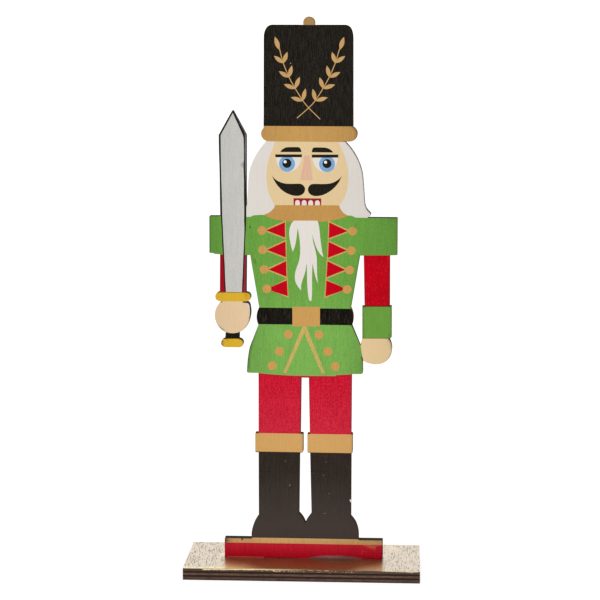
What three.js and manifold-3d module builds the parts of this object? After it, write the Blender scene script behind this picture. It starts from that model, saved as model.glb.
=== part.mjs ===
// Standing nutcracker soldier: a flat figure cut from plywood, printed on its
// front, with two tenons that plug into a plywood base with a gold top.
// Millimetres, +Z up, the figure looks towards -Y. The origin is the centre of
// the base's underside.

import * as THREE from 'three';
import { mergeVertices } from 'three/addons/utils/BufferGeometryUtils.js';
import Module from 'manifold-3d';

// ---- driving dimensions ----------------------------------------------------

const BASE_W = 127.0;          // base, left to right
const BASE_D = 56.3;           // base, front to back
const BASE_CORNER = 0.7;       // rounding of the base's upright corners
const SEAM = [0, 1.72, 2.72, 3.92, 4.92, 6.35]; // faces of its five veneers, from the underside up
const BASE_T = SEAM[5];        // base thickness

const PANEL_T = 5.0;           // thickness of the figure panel
const FACE_PLY = 0.7;          // its front and back veneers
const PANEL_FRONT = -4.05;     // y of the printed face
const PANEL_BACK = PANEL_FRONT + PANEL_T;

const FOOT = 6.0;              // where the outline has the foot bar's underside, which stands on the base
const BAR_LEFT = -43.0;        // foot bar
const BAR_RIGHT = 43.3;
const BAR_TOP = 16.8;

const TENON_W = 20.0;          // two tenons under the foot bar
const TENON_X = [-23.0, 23.2]; // their centres
const TENON_END = 0.4;         // their ends stop just short of the underside
const TENON_PLAY = 0.2;        // play on each side in the mortise

const GLUE_X = 17.5;           // middle of the glue bead
const GLUE_HALF = 15.4;        // half its length
const GLUE_DEPTH = 1.5;        // how far it stands out in front of the bar
const GLUE_HEIGHT = 1.85;      // how far it climbs up the bar

const CURVE_STEPS = 9;

// ---- figure outline, seen from the front: x to the right, z up -------------

const deg = (a) => (a * Math.PI) / 180;

function figureShape() {
  const p = new THREE.Shape();

  // hat, with a ball on top
  p.moveTo(-21.57, 240.6);
  p.lineTo(-21.48, 287.5);
  p.bezierCurveTo(-21.48, 291.3, -20.2, 294.15, -17.3, 294.57);
  p.lineTo(-0.43, 294.57);
  p.absellipse(2.5, 295.7, 3.15, 3.15, deg(201.0), deg(-21.0), true);
  p.lineTo(21.7, 294.57);
  p.bezierCurveTo(24.75, 294.25, 25.75, 291.4, 25.85, 287.4);
  p.lineTo(26.1, 241.0);

  // right end of the hat's band
  p.absarc(24.3, 237.3, 4.05, deg(63.5), deg(-90), true);
  p.lineTo(22.0, 233.1);

  // hair on the right, ending in a small curl over the shoulder
  p.bezierCurveTo(25.6, 229.75, 29.62, 223.85, 31.13, 216.55);
  p.bezierCurveTo(31.72, 212.8, 32.12, 205.9, 32.5, 200.85);
  p.bezierCurveTo(32.7, 198.85, 33.3, 197.7, 34.4, 196.4);
  p.lineTo(35.85, 195.0);
  p.bezierCurveTo(35.9, 194.2, 35.0, 193.4, 33.9, 192.8);

  // right sleeve head, arm, cuff and hand
  p.lineTo(49.5, 192.8);
  p.quadraticCurveTo(50.0, 192.8, 50.0, 192.2);
  p.lineTo(50.0, 173.4);
  p.quadraticCurveTo(50.0, 172.8, 49.5, 172.8);
  p.lineTo(46.1, 172.7);
  p.lineTo(46.2, 145.3);
  p.lineTo(46.9, 145.3);
  p.quadraticCurveTo(47.2, 145.3, 47.2, 144.9);
  p.lineTo(47.3, 129.1);
  p.quadraticCurveTo(47.3, 127.9, 45.9, 127.8);
  p.bezierCurveTo(46.95, 126.2, 47.58, 124.5, 47.58, 122.6);
  p.bezierCurveTo(47.45, 117.2, 43.95, 113.72, 38.9, 113.72);
  p.bezierCurveTo(36.4, 113.72, 33.7, 114.45, 31.9, 115.65);

  // right side of the coat's skirt, leg, knee band, boot and shoe
  p.lineTo(32.0, 109.7);
  p.quadraticCurveTo(32.0, 108.4, 30.7, 108.3);
  p.lineTo(26.0, 108.2);
  p.lineTo(25.9, 75.5);
  p.lineTo(26.3, 75.5);
  p.quadraticCurveTo(26.7, 75.5, 26.7, 75.0);
  p.lineTo(26.7, 65.8);
  p.quadraticCurveTo(26.6, 64.8, 26.0, 64.7);
  p.lineTo(26.0, 29.5);
  p.bezierCurveTo(28.2, 27.4, 30.15, 23.8, 30.2, 19.0);
  p.lineTo(30.2, BAR_TOP);

  // foot bar, with the tenons below it
  p.lineTo(BAR_RIGHT - 0.4, BAR_TOP);
  p.quadraticCurveTo(BAR_RIGHT, BAR_TOP, BAR_RIGHT, BAR_TOP - 0.4);
  p.lineTo(BAR_RIGHT, FOOT);
  for (const x of [...TENON_X].reverse()) {
    p.lineTo(x + TENON_W / 2, FOOT);
    p.lineTo(x + TENON_W / 2, FOOT - BASE_T + TENON_END);
    p.lineTo(x - TENON_W / 2, FOOT - BASE_T + TENON_END);
    p.lineTo(x - TENON_W / 2, FOOT);
  }
  p.lineTo(BAR_LEFT, FOOT);
  p.lineTo(BAR_LEFT, BAR_TOP - 0.4);
  p.quadraticCurveTo(BAR_LEFT, BAR_TOP, BAR_LEFT + 0.4, BAR_TOP);
  p.lineTo(-28.2, BAR_TOP);

  // left shoe, boot, knee band, leg and skirt
  p.lineTo(-28.3, 19.2);
  p.bezierCurveTo(-28.2, 23.7, -26.0, 27.35, -24.3, 29.5);
  p.lineTo(-24.4, 64.7);
  p.lineTo(-25.6, 64.7);
  p.quadraticCurveTo(-26.2, 64.7, -26.2, 65.4);
  p.lineTo(-26.2, 74.7);
  p.quadraticCurveTo(-26.2, 75.3, -25.7, 75.3);
  p.lineTo(-24.4, 75.3);
  p.lineTo(-24.4, 108.3);
  p.lineTo(-29.8, 108.4);
  p.quadraticCurveTo(-30.6, 108.4, -30.6, 109.4);
  p.bezierCurveTo(-30.5, 114.2, -29.9, 119.2, -29.0, 122.8);
  p.lineTo(-24.4, 134.6);

  // belt end and coat on the left
  p.bezierCurveTo(-25.8, 137.5, -25.8, 140.7, -24.0, 144.1);
  p.lineTo(-28.8, 172.3);
  p.lineTo(-30.8, 172.2);

  // left arm, sword guard, fist, handle and pommel
  p.lineTo(-31.0, 152.15);
  p.absarc(-30.9, 149.72, 2.43, deg(90), deg(-90), true);
  p.lineTo(-30.95, 147.0);
  p.lineTo(-29.7, 146.6);
  p.bezierCurveTo(-28.95, 146.1, -28.6, 143.9, -28.5, 141.6);
  p.bezierCurveTo(-28.45, 140.3, -28.65, 139.2, -28.94, 138.15);
  p.absellipse(-38.3, 139.5, 9.45, 9.67, deg(-8), deg(-67.9), true);
  p.lineTo(-34.8, 126.9);
  p.absarc(-34.9, 124.55, 2.3, deg(87), deg(-90), true);
  p.lineTo(-42.3, 122.25);
  p.absarc(-42.3, 124.55, 2.3, deg(-90), deg(-267), true);
  p.absellipse(-38.3, 139.5, 9.6, 9.85, deg(-113.2), deg(-232.2), true);
  p.lineTo(-45.2, 147.29);
  p.absarc(-45.2, 149.72, 2.43, deg(-90), deg(-270), true);
  p.lineTo(-45.0, 172.6);

  // left sleeve head
  p.lineTo(-47.9, 172.7);
  p.lineTo(-48.6, 173.2);
  p.lineTo(-50.2, 173.3);
  p.quadraticCurveTo(-50.7, 173.3, -50.7, 173.8);
  p.lineTo(-50.7, 192.6);
  p.quadraticCurveTo(-50.7, 193.2, -50.2, 193.2);
  p.lineTo(-44.8, 193.2);

  // blade
  p.lineTo(-44.95, 201.7);
  p.lineTo(-45.02, 212.0);
  p.lineTo(-45.16, 219.5);
  p.lineTo(-45.42, 228.0);
  p.lineTo(-45.5, 236.4);
  p.lineTo(-38.28, 249.4);
  p.lineTo(-37.73, 249.4);
  p.lineTo(-30.8, 236.5);
  p.lineTo(-30.9, 207.2);
  p.lineTo(-30.75, 198.0);
  p.lineTo(-30.3, 200.4);
  p.lineTo(-30.08, 204.0);

  // hair on the left and left end of the hat's band
  p.bezierCurveTo(-30.0, 207.2, -29.75, 212.0, -29.4, 215.4);
  p.bezierCurveTo(-28.8, 220.6, -25.6, 227.3, -20.0, 233.3);
  p.absarc(-18.9, 237.2, 4.0, deg(-105.5), deg(-231.3), true);
  p.closePath();

  // gap between the right arm and the coat
  const arm = new THREE.Path();
  arm.moveTo(30.1, 172.4);
  arm.lineTo(25.4, 144.2);
  arm.bezierCurveTo(27.1, 141.2, 27.1, 137.4, 26.0, 134.7);
  arm.lineTo(30.5, 123.8);
  arm.quadraticCurveTo(31.2, 125.8, 31.5, 127.7);
  arm.lineTo(31.4, 145.1);
  arm.lineTo(32.6, 145.1);
  arm.lineTo(31.98, 172.5);
  arm.closePath();

  // gap between the legs
  const legs = new THREE.Path();
  legs.moveTo(-1.3, 106.0);
  legs.lineTo(-1.6, 75.3);
  legs.lineTo(-0.6, 75.3);
  legs.quadraticCurveTo(-0.1, 75.3, -0.1, 74.8);
  legs.lineTo(-0.1, 65.7);
  legs.quadraticCurveTo(-0.1, 65.1, -0.7, 64.9);
  legs.lineTo(-2.0, 64.6);
  legs.lineTo(-2.3, 30.9);
  legs.bezierCurveTo(-1.2, 29.9, 0.7, 27.6, 0.95, 25.9);
  legs.lineTo(1.35, 25.9);
  legs.bezierCurveTo(1.6, 27.3, 3.45, 29.3, 4.45, 30.9);
  legs.lineTo(3.6, 64.7);
  legs.lineTo(2.8, 64.8);
  legs.quadraticCurveTo(2.2, 64.8, 2.1, 65.4);
  legs.lineTo(2.1, 74.7);
  legs.quadraticCurveTo(2.1, 75.2, 2.6, 75.2);
  legs.lineTo(3.4, 75.2);
  legs.lineTo(2.8, 106.0);
  legs.closePath();

  p.holes.push(arm, legs);
  return p;
}

// a layer of the panel, from y0 at its front to y1 at its back
function panelLayer(y0, y1) {
  const g = new THREE.ExtrudeGeometry(figureShape(), {
    depth: y1 - y0, bevelEnabled: false, curveSegments: CURVE_STEPS,
  });
  g.rotateX(Math.PI / 2);   // the outline stands up, the depth runs to -Y
  g.translate(0, y1, BASE_T - FOOT);
  return g;
}

// ---- cutting and joining closed shapes ------------------------------------

const wasm = await Module();
wasm.setup();

function toSolid(geometry) {
  const g = geometry.clone();
  g.deleteAttribute('normal');
  g.deleteAttribute('uv');
  const m = mergeVertices(g, 1e-5);
  return new wasm.Manifold(new wasm.Mesh({
    numProp: 3,
    vertProperties: new Float32Array(m.attributes.position.array),
    triVerts: new Uint32Array(m.index.array),
  }));
}

function toGeometry(solid) {
  const m = solid.getMesh();
  const g = new THREE.BufferGeometry();
  g.setAttribute('position', new THREE.BufferAttribute(new Float32Array(m.vertProperties), 3));
  g.setIndex(new THREE.BufferAttribute(new Uint32Array(m.triVerts), 1));
  g.computeVertexNormals();
  return g;
}

// ---- base outline, seen from above -----------------------------------------

function baseShape() {
  const w = BASE_W / 2, d = BASE_D / 2, r = BASE_CORNER;
  const s = new THREE.Shape();
  s.moveTo(-w + r, -d);
  s.lineTo(w - r, -d);
  s.quadraticCurveTo(w, -d, w, -d + r);
  s.lineTo(w, d - r);
  s.quadraticCurveTo(w, d, w - r, d);
  s.lineTo(-w + r, d);
  s.quadraticCurveTo(-w, d, -w, d - r);
  s.lineTo(-w, -d + r);
  s.quadraticCurveTo(-w, -d, -w + r, -d);
  s.closePath();
  return s;
}

function baseLayer(z0, z1) {
  const g = new THREE.ExtrudeGeometry(baseShape(), {
    depth: z1 - z0, bevelEnabled: false, curveSegments: 4,
  });
  g.translate(0, 0, z0);
  let board = toSolid(g);
  for (const x of TENON_X) {
    const mortise = new THREE.BoxGeometry(
      TENON_W + 2 * TENON_PLAY, PANEL_T + 2 * TENON_PLAY, 4 * BASE_T);
    mortise.translate(x, (PANEL_FRONT + PANEL_BACK) / 2, 0);
    board = board.subtract(toSolid(mortise));
  }
  return toGeometry(board);
}

// ---- glue bead: a quarter of a long ellipsoid in the corner bar to base ----

function glueBead() {
  const ball = new THREE.SphereGeometry(1, 24, 16);
  ball.rotateZ(Math.PI / 2);
  ball.scale(GLUE_HALF, GLUE_DEPTH, GLUE_HEIGHT);
  ball.translate(GLUE_X, PANEL_FRONT, BASE_T);
  const corner = new THREE.BoxGeometry(2 * GLUE_HALF + 4, 6, 6);
  corner.translate(GLUE_X, PANEL_FRONT - 3, BASE_T + 3);
  return toGeometry(toSolid(ball).intersect(toSolid(corner)));
}

// ---- assembly --------------------------------------------------------------

const charred = { color: 0x4a382d, roughness: 0.85, metalness: 0.0 };
const crossband = { color: 0x35261d, roughness: 0.9, metalness: 0.0 };
const goldPaint = { color: 0xc9a367, roughness: 0.35, metalness: 0.8 };
const birch = { color: 0xd9bd92, roughness: 0.7, metalness: 0.0 };
const print = { color: 0x6ea348, roughness: 0.6, metalness: 0.0 };
const glue = { color: 0x8a837c, roughness: 0.3, metalness: 0.0 };

const figure = new THREE.Group();

function add(name, geometry, look) {
  const mesh = new THREE.Mesh(geometry, new THREE.MeshStandardMaterial(look));
  mesh.name = name;
  figure.add(mesh);
}

add('base_bottom_veneer', baseLayer(SEAM[0], SEAM[1]), charred);
add('base_lower_crossband', baseLayer(SEAM[1], SEAM[2]), crossband);
add('base_core_veneer', baseLayer(SEAM[2], SEAM[3]), charred);
add('base_upper_crossband', baseLayer(SEAM[3], SEAM[4]), crossband);
add('base_top_veneer', baseLayer(SEAM[4], SEAM[5]), goldPaint);

add('figure_front_veneer', panelLayer(PANEL_FRONT, PANEL_FRONT + FACE_PLY), print);
add('figure_core_veneer', panelLayer(PANEL_FRONT + FACE_PLY, PANEL_BACK - FACE_PLY), birch);
add('figure_back_veneer', panelLayer(PANEL_BACK - FACE_PLY, PANEL_BACK), birch);

add('glue_bead_front', glueBead(), glue);

export default figure;
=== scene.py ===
import math
import random

import bmesh
import bpy
import numpy as np
from mathutils import Matrix, Vector
from mathutils.geometry import delaunay_2d_cdt


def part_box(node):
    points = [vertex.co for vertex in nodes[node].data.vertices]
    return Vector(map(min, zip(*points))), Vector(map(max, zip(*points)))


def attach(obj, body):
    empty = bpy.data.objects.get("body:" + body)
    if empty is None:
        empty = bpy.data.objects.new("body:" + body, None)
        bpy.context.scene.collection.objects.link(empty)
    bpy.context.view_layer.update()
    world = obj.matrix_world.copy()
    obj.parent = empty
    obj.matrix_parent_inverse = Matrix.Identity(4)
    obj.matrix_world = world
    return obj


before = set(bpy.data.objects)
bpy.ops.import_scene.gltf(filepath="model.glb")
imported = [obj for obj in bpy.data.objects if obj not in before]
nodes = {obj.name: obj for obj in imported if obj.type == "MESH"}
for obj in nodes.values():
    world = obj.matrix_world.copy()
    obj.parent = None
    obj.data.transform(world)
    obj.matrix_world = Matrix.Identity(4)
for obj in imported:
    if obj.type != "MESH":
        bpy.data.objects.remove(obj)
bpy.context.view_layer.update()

MM = 0.001

# ------------------------------------------------------------------ sizes (mm)
INK_FILM = 0.03          # thickness of the print on the front veneer
SKIN = 0.02              # thickness of the sanded back face

# ------------------------------------------------------------------ ink colours, sRGB 0-255
INKS = {
    "arm_shade": (157, 14, 30), "line_red": (58, 10, 17), "green": (103, 156, 63), "hair": (213, 207, 200), "skin": (218, 192, 148), "hat": (30, 26, 21), "gold": (189, 146, 83),
    "finial": (163, 129, 81), "collar": (187, 141, 78), "hand_right": (224, 195, 149), "cuff_line": (96, 104, 40), "laurel": (190, 151, 97), "black": (28, 24, 17),
    "white": (219, 213, 206), "blue": (122, 162, 201), "light": (226, 231, 230), "pink": (214, 173, 147), "mouth": (145, 30, 29), "tooth": (226, 209, 202), "tan": (190, 164, 94),
    "wedge": (188, 2, 25), "button": (195, 147, 80), "belt": (20, 16, 10), "buckle": (196, 149, 84), "arm": (186, 2, 23), "arm_dark": (148, 41, 48), "cuff": (105, 155, 62),
    "hand": (224, 195, 157), "char": (34, 25, 19), "steel_dark": (130, 127, 122), "line": (24, 22, 17), "steel": (195, 194, 189), "yellow": (216, 172, 43), "hem_line": (130, 40, 35),
    "leg": (193, 2, 38), "knee": (203, 157, 94), "boot": (45, 37, 31), "stripe": (210, 160, 101), "bar": (203, 34, 51), "bare": (236, 228, 216), "boot_light": (105, 95, 85),
    "burnt": (120, 75, 45), "green_dark": (70, 100, 40), "pale": (228, 212, 200), "hem_tan": (166, 146, 86), "flake": (205, 120, 85), "worn_foot": (176, 72, 58), "worn_shade": (138, 10, 23), "stripe_light": (215, 180, 125),
    "green_brown": (96, 132, 54), "steel_dim": (176, 175, 170), "orange": (198, 156, 35), "guard_line": (150, 110, 50),
}

# Print layers on the panel's front plane: (piece, ink, kind, data), x and z in mm.
# P: straight outline, S: smooth outline whose points with a third value are corners,
# O: oval (x, z, rx, rz), F: leaf (foot, tip, width), L: line (points, width)
# print layers, bottom to top
ART = [
    ("print_coat", "green", "P", [(-55.61, 207.37), (56.34, 208.02), (57.25, 107.35), (-56.12, 106.11)]),
    ("print_hair", "hair", "S", [(-30.40, 233.60, 1), (37.07, 233.90, 1), (37.34, 193.03, 1), (33.83, 193.01, 1), (30.42, 193.09), (27.75, 193.18), (26.37, 193.71), (25.09, 194.18), (23.75, 194.20, 1), (19.23, 193.39, 1), (-15.48, 193.17, 1), (-21.47, 194.28, 1), (-24.58, 194.18), (-26.94, 193.95), (-28.54, 193.24), (-30.79, 193.12, 1), (-30.77, 207.51, 1)]),
    ("print_face", "skin", "S", [(-15.38, 233.93, 1), (-16.87, 229.15), (-18.68, 224.36), (-19.80, 219.30), (-20.13, 214.51), (-19.59, 208.91), (-18.26, 204.38), (-15.59, 199.37, 1), (18.99, 199.59, 1), (21.63, 203.82), (23.04, 208.89), (23.60, 214.74), (23.15, 220.06), (21.96, 224.56), (20.13, 229.16), (17.88, 234.08, 1)]),
    ("print_hat", "hat", "P", [(-28.68, 303.54), (31.36, 303.60), (31.73, 241.48), (19.02, 241.56), (1.52, 241.57), (-16.02, 241.60), (-28.79, 241.71)]),
    ("print_hat_trim", "gold", "P", [(-28.79, 241.71), (-16.02, 241.60), (1.52, 241.57), (19.02, 241.56), (31.73, 241.48), (31.78, 233.21), (15.87, 233.30), (-12.82, 233.44), (-28.80, 233.52)]),
    ("print_hat_trim", "finial", "P", [(-2.83, 303.57), (7.70, 303.58), (7.73, 294.75), (-2.82, 294.76)]),
    ("print_laurel", "laurel", "L", ([(8.46, 245.30), (2.34, 251.34), (-0.79, 255.18), (-4.94, 261.69), (-8.07, 267.47), (-11.09, 274.71), (-13.16, 282.41)], 0.477)),
    ("print_laurel", "laurel", "L", ([(-3.80, 245.83), (2.45, 251.34), (6.10, 255.41), (10.15, 261.90), (13.30, 267.58), (16.34, 274.77), (18.58, 282.21)], 0.478)),
    ("print_laurel", "laurel", "F", ((-13.26, 281.73), (-15.59, 288.63), 2.43)),
    ("print_laurel", "laurel", "F", ((18.74, 281.79), (20.92, 288.54), 2.43)),
    ("print_laurel", "laurel", "F", ((-11.09, 274.71), (-16.07, 278.58), 2.22)),
    ("print_laurel", "laurel", "F", ((-11.09, 274.71), (-8.93, 280.64), 2.22)),
    ("print_laurel", "laurel", "F", ((-8.12, 267.21), (-13.42, 270.50), 2.22)),
    ("print_laurel", "laurel", "F", ((-8.12, 267.21), (-6.49, 273.56), 2.22)),
    ("print_laurel", "laurel", "F", ((-4.88, 261.33), (-10.77, 263.68), 2.23)),
    ("print_laurel", "laurel", "F", ((-4.88, 261.33), (-2.40, 267.59), 2.23)),
    ("print_laurel", "laurel", "F", ((-0.84, 254.86), (-7.10, 256.84), 2.23)),
    ("print_laurel", "laurel", "F", ((-0.84, 254.86), (0.73, 261.50), 2.23)),
    ("print_laurel", "laurel", "F", ((16.34, 274.88), (14.63, 280.63), 2.22)),
    ("print_laurel", "laurel", "F", ((16.34, 274.88), (21.60, 278.56), 2.22)),
    ("print_laurel", "laurel", "F", ((13.41, 267.27), (11.91, 273.51), 2.22)),
    ("print_laurel", "laurel", "F", ((13.41, 267.27), (19.05, 270.12), 2.22)),
    ("print_laurel", "laurel", "F", ((10.05, 261.43), (8.07, 267.41), 2.22)),
    ("print_laurel", "laurel", "F", ((10.05, 261.43), (16.33, 263.55), 2.22)),
    ("print_laurel", "laurel", "F", ((5.99, 254.94), (4.54, 261.30), 2.22)),
    ("print_laurel", "laurel", "F", ((5.99, 254.94), (12.44, 256.75), 2.22)),
    ("print_laurel", "laurel", "O", (-7.28, 274.72, 0.265, 0.265)),
    ("print_brows", "black", "S", [(-12.61, 227.81, 1), (-12.13, 228.69), (-11.06, 229.60), (-9.47, 230.32), (-7.50, 230.46), (-3.46, 230.48), (-2.45, 230.22), (-1.86, 229.48), (-1.33, 227.87, 1)]),
    ("print_brows", "black", "S", [(4.10, 227.76, 1), (4.25, 228.88), (4.68, 229.88), (5.53, 230.31), (10.04, 230.33), (12.11, 230.08), (14.08, 229.19), (15.57, 227.71, 1)]),
    ("print_eye_whites", "white", "S", [(-15.06, 225.60, 1), (-14.79, 223.31), (-14.04, 221.14), (-12.71, 219.23), (-10.68, 217.80), (-8.39, 217.44), (-6.10, 217.83), (-3.97, 219.17), (-2.54, 221.14), (-1.69, 223.54), (-1.48, 225.66, 1)]),
    ("print_eye_whites", "white", "S", [(4.37, 225.48, 1), (4.69, 223.20), (5.50, 221.03), (6.89, 219.17), (8.91, 217.80), (11.25, 217.34), (13.59, 217.72), (15.61, 219.01), (16.98, 221.03), (17.77, 223.42), (18.03, 225.55, 1)]),
    ("print_irises", "blue", "O", (-9.09, 221.59, 4.262, 4.262)),
    ("print_irises", "blue", "O", (12.20, 221.54, 4.253, 4.253)),
    ("print_pupils", "black", "O", (-9.14, 221.85, 2.424, 2.424)),
    ("print_pupils", "black", "O", (12.20, 221.80, 2.392, 2.392)),
    ("print_eye_lights", "light", "O", (-10.10, 222.65, 0.826, 0.826)),
    ("print_eye_lights", "light", "O", (11.40, 222.54, 0.824, 0.824)),
    ("print_lids", "black", "P", [(-15.48, 226.55), (-1.11, 226.62), (-1.21, 225.11), (-15.16, 225.04)]),
    ("print_lids", "black", "P", [(4.05, 226.54), (18.23, 226.61), (18.13, 225.02), (4.16, 224.95)]),
    ("print_nose", "pink", "S", [(0.27, 226.10, 1), (2.83, 226.11, 1), (3.63, 221.81), (4.12, 217.56), (4.77, 212.83, 1), (-1.99, 212.79, 1), (-1.31, 217.27), (-0.46, 221.79)]),
    ("print_moustache", "black", "S", [(-17.19, 215.32, 1), (-15.54, 213.52), (-13.14, 211.99), (-10.04, 211.10), (-6.31, 210.96), (-2.04, 210.98), (-0.23, 209.98), (0.58, 208.23), (-0.01, 206.25), (-1.60, 204.96), (-3.95, 204.52), (-7.26, 205.09), (-10.68, 206.77), (-13.35, 209.05), (-15.43, 211.87)]),
    ("print_moustache", "black", "S", [(20.09, 215.20, 1), (18.40, 213.49), (16.06, 211.99), (13.08, 211.12), (9.36, 210.94), (4.57, 210.91), (2.86, 209.95), (2.07, 208.13), (2.66, 206.16), (4.26, 204.89), (6.61, 204.48), (10.02, 205.08), (13.42, 206.81), (16.18, 209.06), (18.40, 211.79)]),
    ("print_mouth", "mouth", "P", [(-5.60, 203.28), (9.22, 203.26), (9.13, 198.94), (-5.54, 198.85)]),
    ("print_teeth", "tooth", "S", [(-4.75, 198.85, 1), (-4.76, 200.91), (-4.40, 201.90), (-3.47, 202.31), (-2.53, 201.91), (-2.17, 200.93), (-2.17, 198.87, 1)]),
    ("print_teeth", "tooth", "S", [(-1.20, 198.88, 1), (-1.21, 200.89), (-0.85, 201.88), (0.08, 202.29), (1.02, 201.89), (1.37, 200.91), (1.38, 198.89, 1)]),
    ("print_teeth", "tooth", "S", [(2.27, 198.90, 1), (2.26, 200.87), (2.62, 201.86), (3.55, 202.26), (4.48, 201.87), (4.84, 200.88), (4.85, 198.91, 1)]),
    ("print_teeth", "tooth", "S", [(5.87, 198.92, 1), (5.86, 200.85), (6.22, 201.84), (7.15, 202.24), (8.08, 201.85), (8.44, 200.86), (8.45, 198.94, 1)]),
    ("print_collar", "collar", "S", [(-15.54, 199.53, 1), (18.77, 199.64, 1), (19.31, 197.99), (20.49, 196.29), (21.99, 194.96), (23.65, 194.12, 1), (20.83, 193.03), (17.10, 191.99), (12.30, 191.10), (6.43, 190.63), (0.56, 190.54), (-5.32, 190.66), (-10.67, 191.16), (-15.48, 191.99), (-18.96, 193.04), (-21.64, 194.25, 1), (-19.12, 195.28), (-17.19, 196.69), (-16.02, 198.09)]),
    ("print_beard", "white", "S", [(-5.37, 191.31, 1), (-6.76, 189.53), (-7.62, 187.22), (-7.88, 184.91), (-7.72, 182.23), (-6.96, 178.10), (-6.00, 174.56, 1), (-4.82, 177.52), (-4.02, 181.61), (-3.36, 187.35, 1), (-2.74, 184.03), (-2.15, 179.32), (-1.98, 174.75), (-2.51, 170.17), (-3.95, 165.74), (-4.80, 162.18), (-4.53, 158.67), (-3.29, 156.04), (-1.51, 153.78, 1), (-1.41, 156.59), (-0.51, 159.95), (0.72, 163.73), (1.54, 168.80, 1), (1.66, 163.74), (1.80, 157.81), (2.25, 152.09), (2.79, 149.01), (3.65, 148.04), (4.24, 149.40), (4.42, 154.05), (4.37, 161.07), (4.59, 168.61, 1), (5.54, 164.04), (6.52, 160.22), (7.60, 157.43, 1), (7.10, 162.17), (7.03, 167.55), (6.86, 171.59), (6.10, 175.62), (4.97, 179.90), (4.45, 184.19, 1), (5.39, 180.60), (6.74, 176.69), (8.51, 173.70), (10.44, 171.78, 1), (9.79, 174.62), (8.92, 180.63), (8.32, 186.20), (7.82, 189.41), (7.13, 191.33, 1)]),
    ("print_frogging", "tan", "P", [(-22.18, 185.94), (-9.68, 191.46), (-9.51, 181.17)]),
    ("print_frogging", "tan", "P", [(-21.76, 175.46), (-9.40, 181.06), (-9.18, 170.58)]),
    ("print_frogging", "tan", "P", [(-20.90, 164.91), (-9.07, 170.58), (-8.80, 160.07)]),
    ("print_frogging", "tan", "P", [(-19.51, 154.60), (-8.69, 160.18), (-8.14, 149.70)]),
    ("print_frogging", "tan", "P", [(25.34, 185.84), (13.05, 191.40), (12.74, 181.06)]),
    ("print_frogging", "tan", "P", [(24.86, 175.43), (12.71, 180.95), (12.29, 170.53)]),
    ("print_frogging", "tan", "P", [(24.11, 165.11), (12.21, 170.58), (11.64, 159.97)]),
    ("print_frogging", "tan", "P", [(22.82, 154.64), (11.61, 160.24), (11.03, 149.60)]),
    ("print_wedges", "wedge", "P", [(-20.30, 185.95), (-10.13, 190.47), (-10.02, 182.10)]),
    ("print_wedges", "wedge", "P", [(-19.88, 175.48), (-9.86, 180.12), (-9.64, 171.52)]),
    ("print_wedges", "wedge", "P", [(-19.03, 164.92), (-9.47, 169.63), (-9.25, 161.06)]),
    ("print_wedges", "wedge", "S", [(-9.04, 159.23, 1), (-8.60, 150.64, 1), (-16.99, 153.33), (-17.63, 154.62), (-17.31, 155.65)]),
    ("print_wedges", "wedge", "P", [(23.47, 185.82), (13.48, 190.52), (13.24, 181.95)]),
    ("print_wedges", "wedge", "P", [(22.99, 175.42), (13.20, 180.07), (12.80, 171.42)]),
    ("print_wedges", "wedge", "P", [(22.24, 165.09), (12.65, 169.70), (12.14, 160.92)]),
    ("print_wedges", "wedge", "S", [(12.09, 159.30, 1), (20.25, 155.91), (21.00, 154.73), (20.47, 153.76), (11.59, 150.55, 1)]),
    ("print_buttons", "button", "O", (-22.55, 185.94, 2.331, 2.331)),
    ("print_buttons", "button", "O", (-22.13, 175.51, 2.334, 2.334)),
    ("print_buttons", "button", "O", (-21.33, 164.91, 2.337, 2.337)),
    ("print_buttons", "button", "O", (-19.89, 154.44, 2.339, 2.339)),
    ("print_buttons", "button", "O", (25.93, 185.84, 2.319, 2.319)),
    ("print_buttons", "button", "O", (25.29, 175.38, 2.323, 2.323)),
    ("print_buttons", "button", "O", (24.54, 164.95, 2.326, 2.326)),
    ("print_buttons", "button", "O", (23.25, 154.48, 2.329, 2.329)),
    ("print_hem_trim", "hem_tan", "S", [(-24.67, 108.97, 1), (-19.26, 108.59), (-12.78, 108.20), (-7.37, 107.96), (-1.97, 107.85), (17.44, 107.95, 1), (17.55, 108.34, 1), (27.13, 108.93, 1), (27.15, 106.75, 1), (-24.68, 106.18, 1)]),
    ("print_belt", "belt", "P", [(-28.94, 144.45), (-20.86, 144.28), (23.20, 144.08), (29.09, 144.05), (29.14, 135.12), (23.24, 135.17), (-21.95, 135.28), (-28.96, 135.32)]),
    ("print_skirt_buttons", "button", "O", (-8.37, 129.87, 2.371, 2.371)),
    ("print_skirt_buttons", "button", "O", (-13.11, 120.62, 2.374, 2.374)),
    ("print_skirt_buttons", "button", "O", (-17.05, 112.72, 2.378, 2.378)),
    ("print_skirt_buttons", "button", "O", (8.21, 129.81, 2.367, 2.367)),
    ("print_skirt_buttons", "button", "O", (12.98, 120.72, 2.368, 2.368)),
    ("print_skirt_buttons", "button", "O", (16.99, 112.64, 2.370, 2.370)),
    ("print_skirt_trim", "tan", "P", [(-0.51, 134.78), (1.21, 134.80), (0.95, 132.24), (-9.32, 108.92), (-11.05, 108.90)]),
    ("print_skirt_trim", "tan", "P", [(-0.73, 134.78), (1.10, 134.80), (11.51, 108.93), (9.68, 108.91), (-0.40, 132.12)]),
    ("print_buckle", "buckle", "P", [(-6.18, 144.87), (8.71, 144.89), (8.69, 134.32), (-6.11, 134.29)]),
    ("print_right_arm", "arm", "P", [(31.60, 172.93), (46.80, 173.02), (47.01, 145.59), (31.55, 145.48), (31.74, 148.89)]),
    ("print_right_cuff", "cuff", "P", [(30.91, 145.47), (48.35, 145.58), (48.49, 128.23), (30.79, 128.13)]),
    ("print_right_hand", "hand_right", "S", [(30.25, 128.13, 1), (48.76, 128.23, 1), (48.88, 113.25, 1), (32.49, 113.08, 1), (32.04, 115.80, 1), (31.71, 117.65), (31.16, 120.47), (30.54, 124.27, 1)]),
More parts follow.
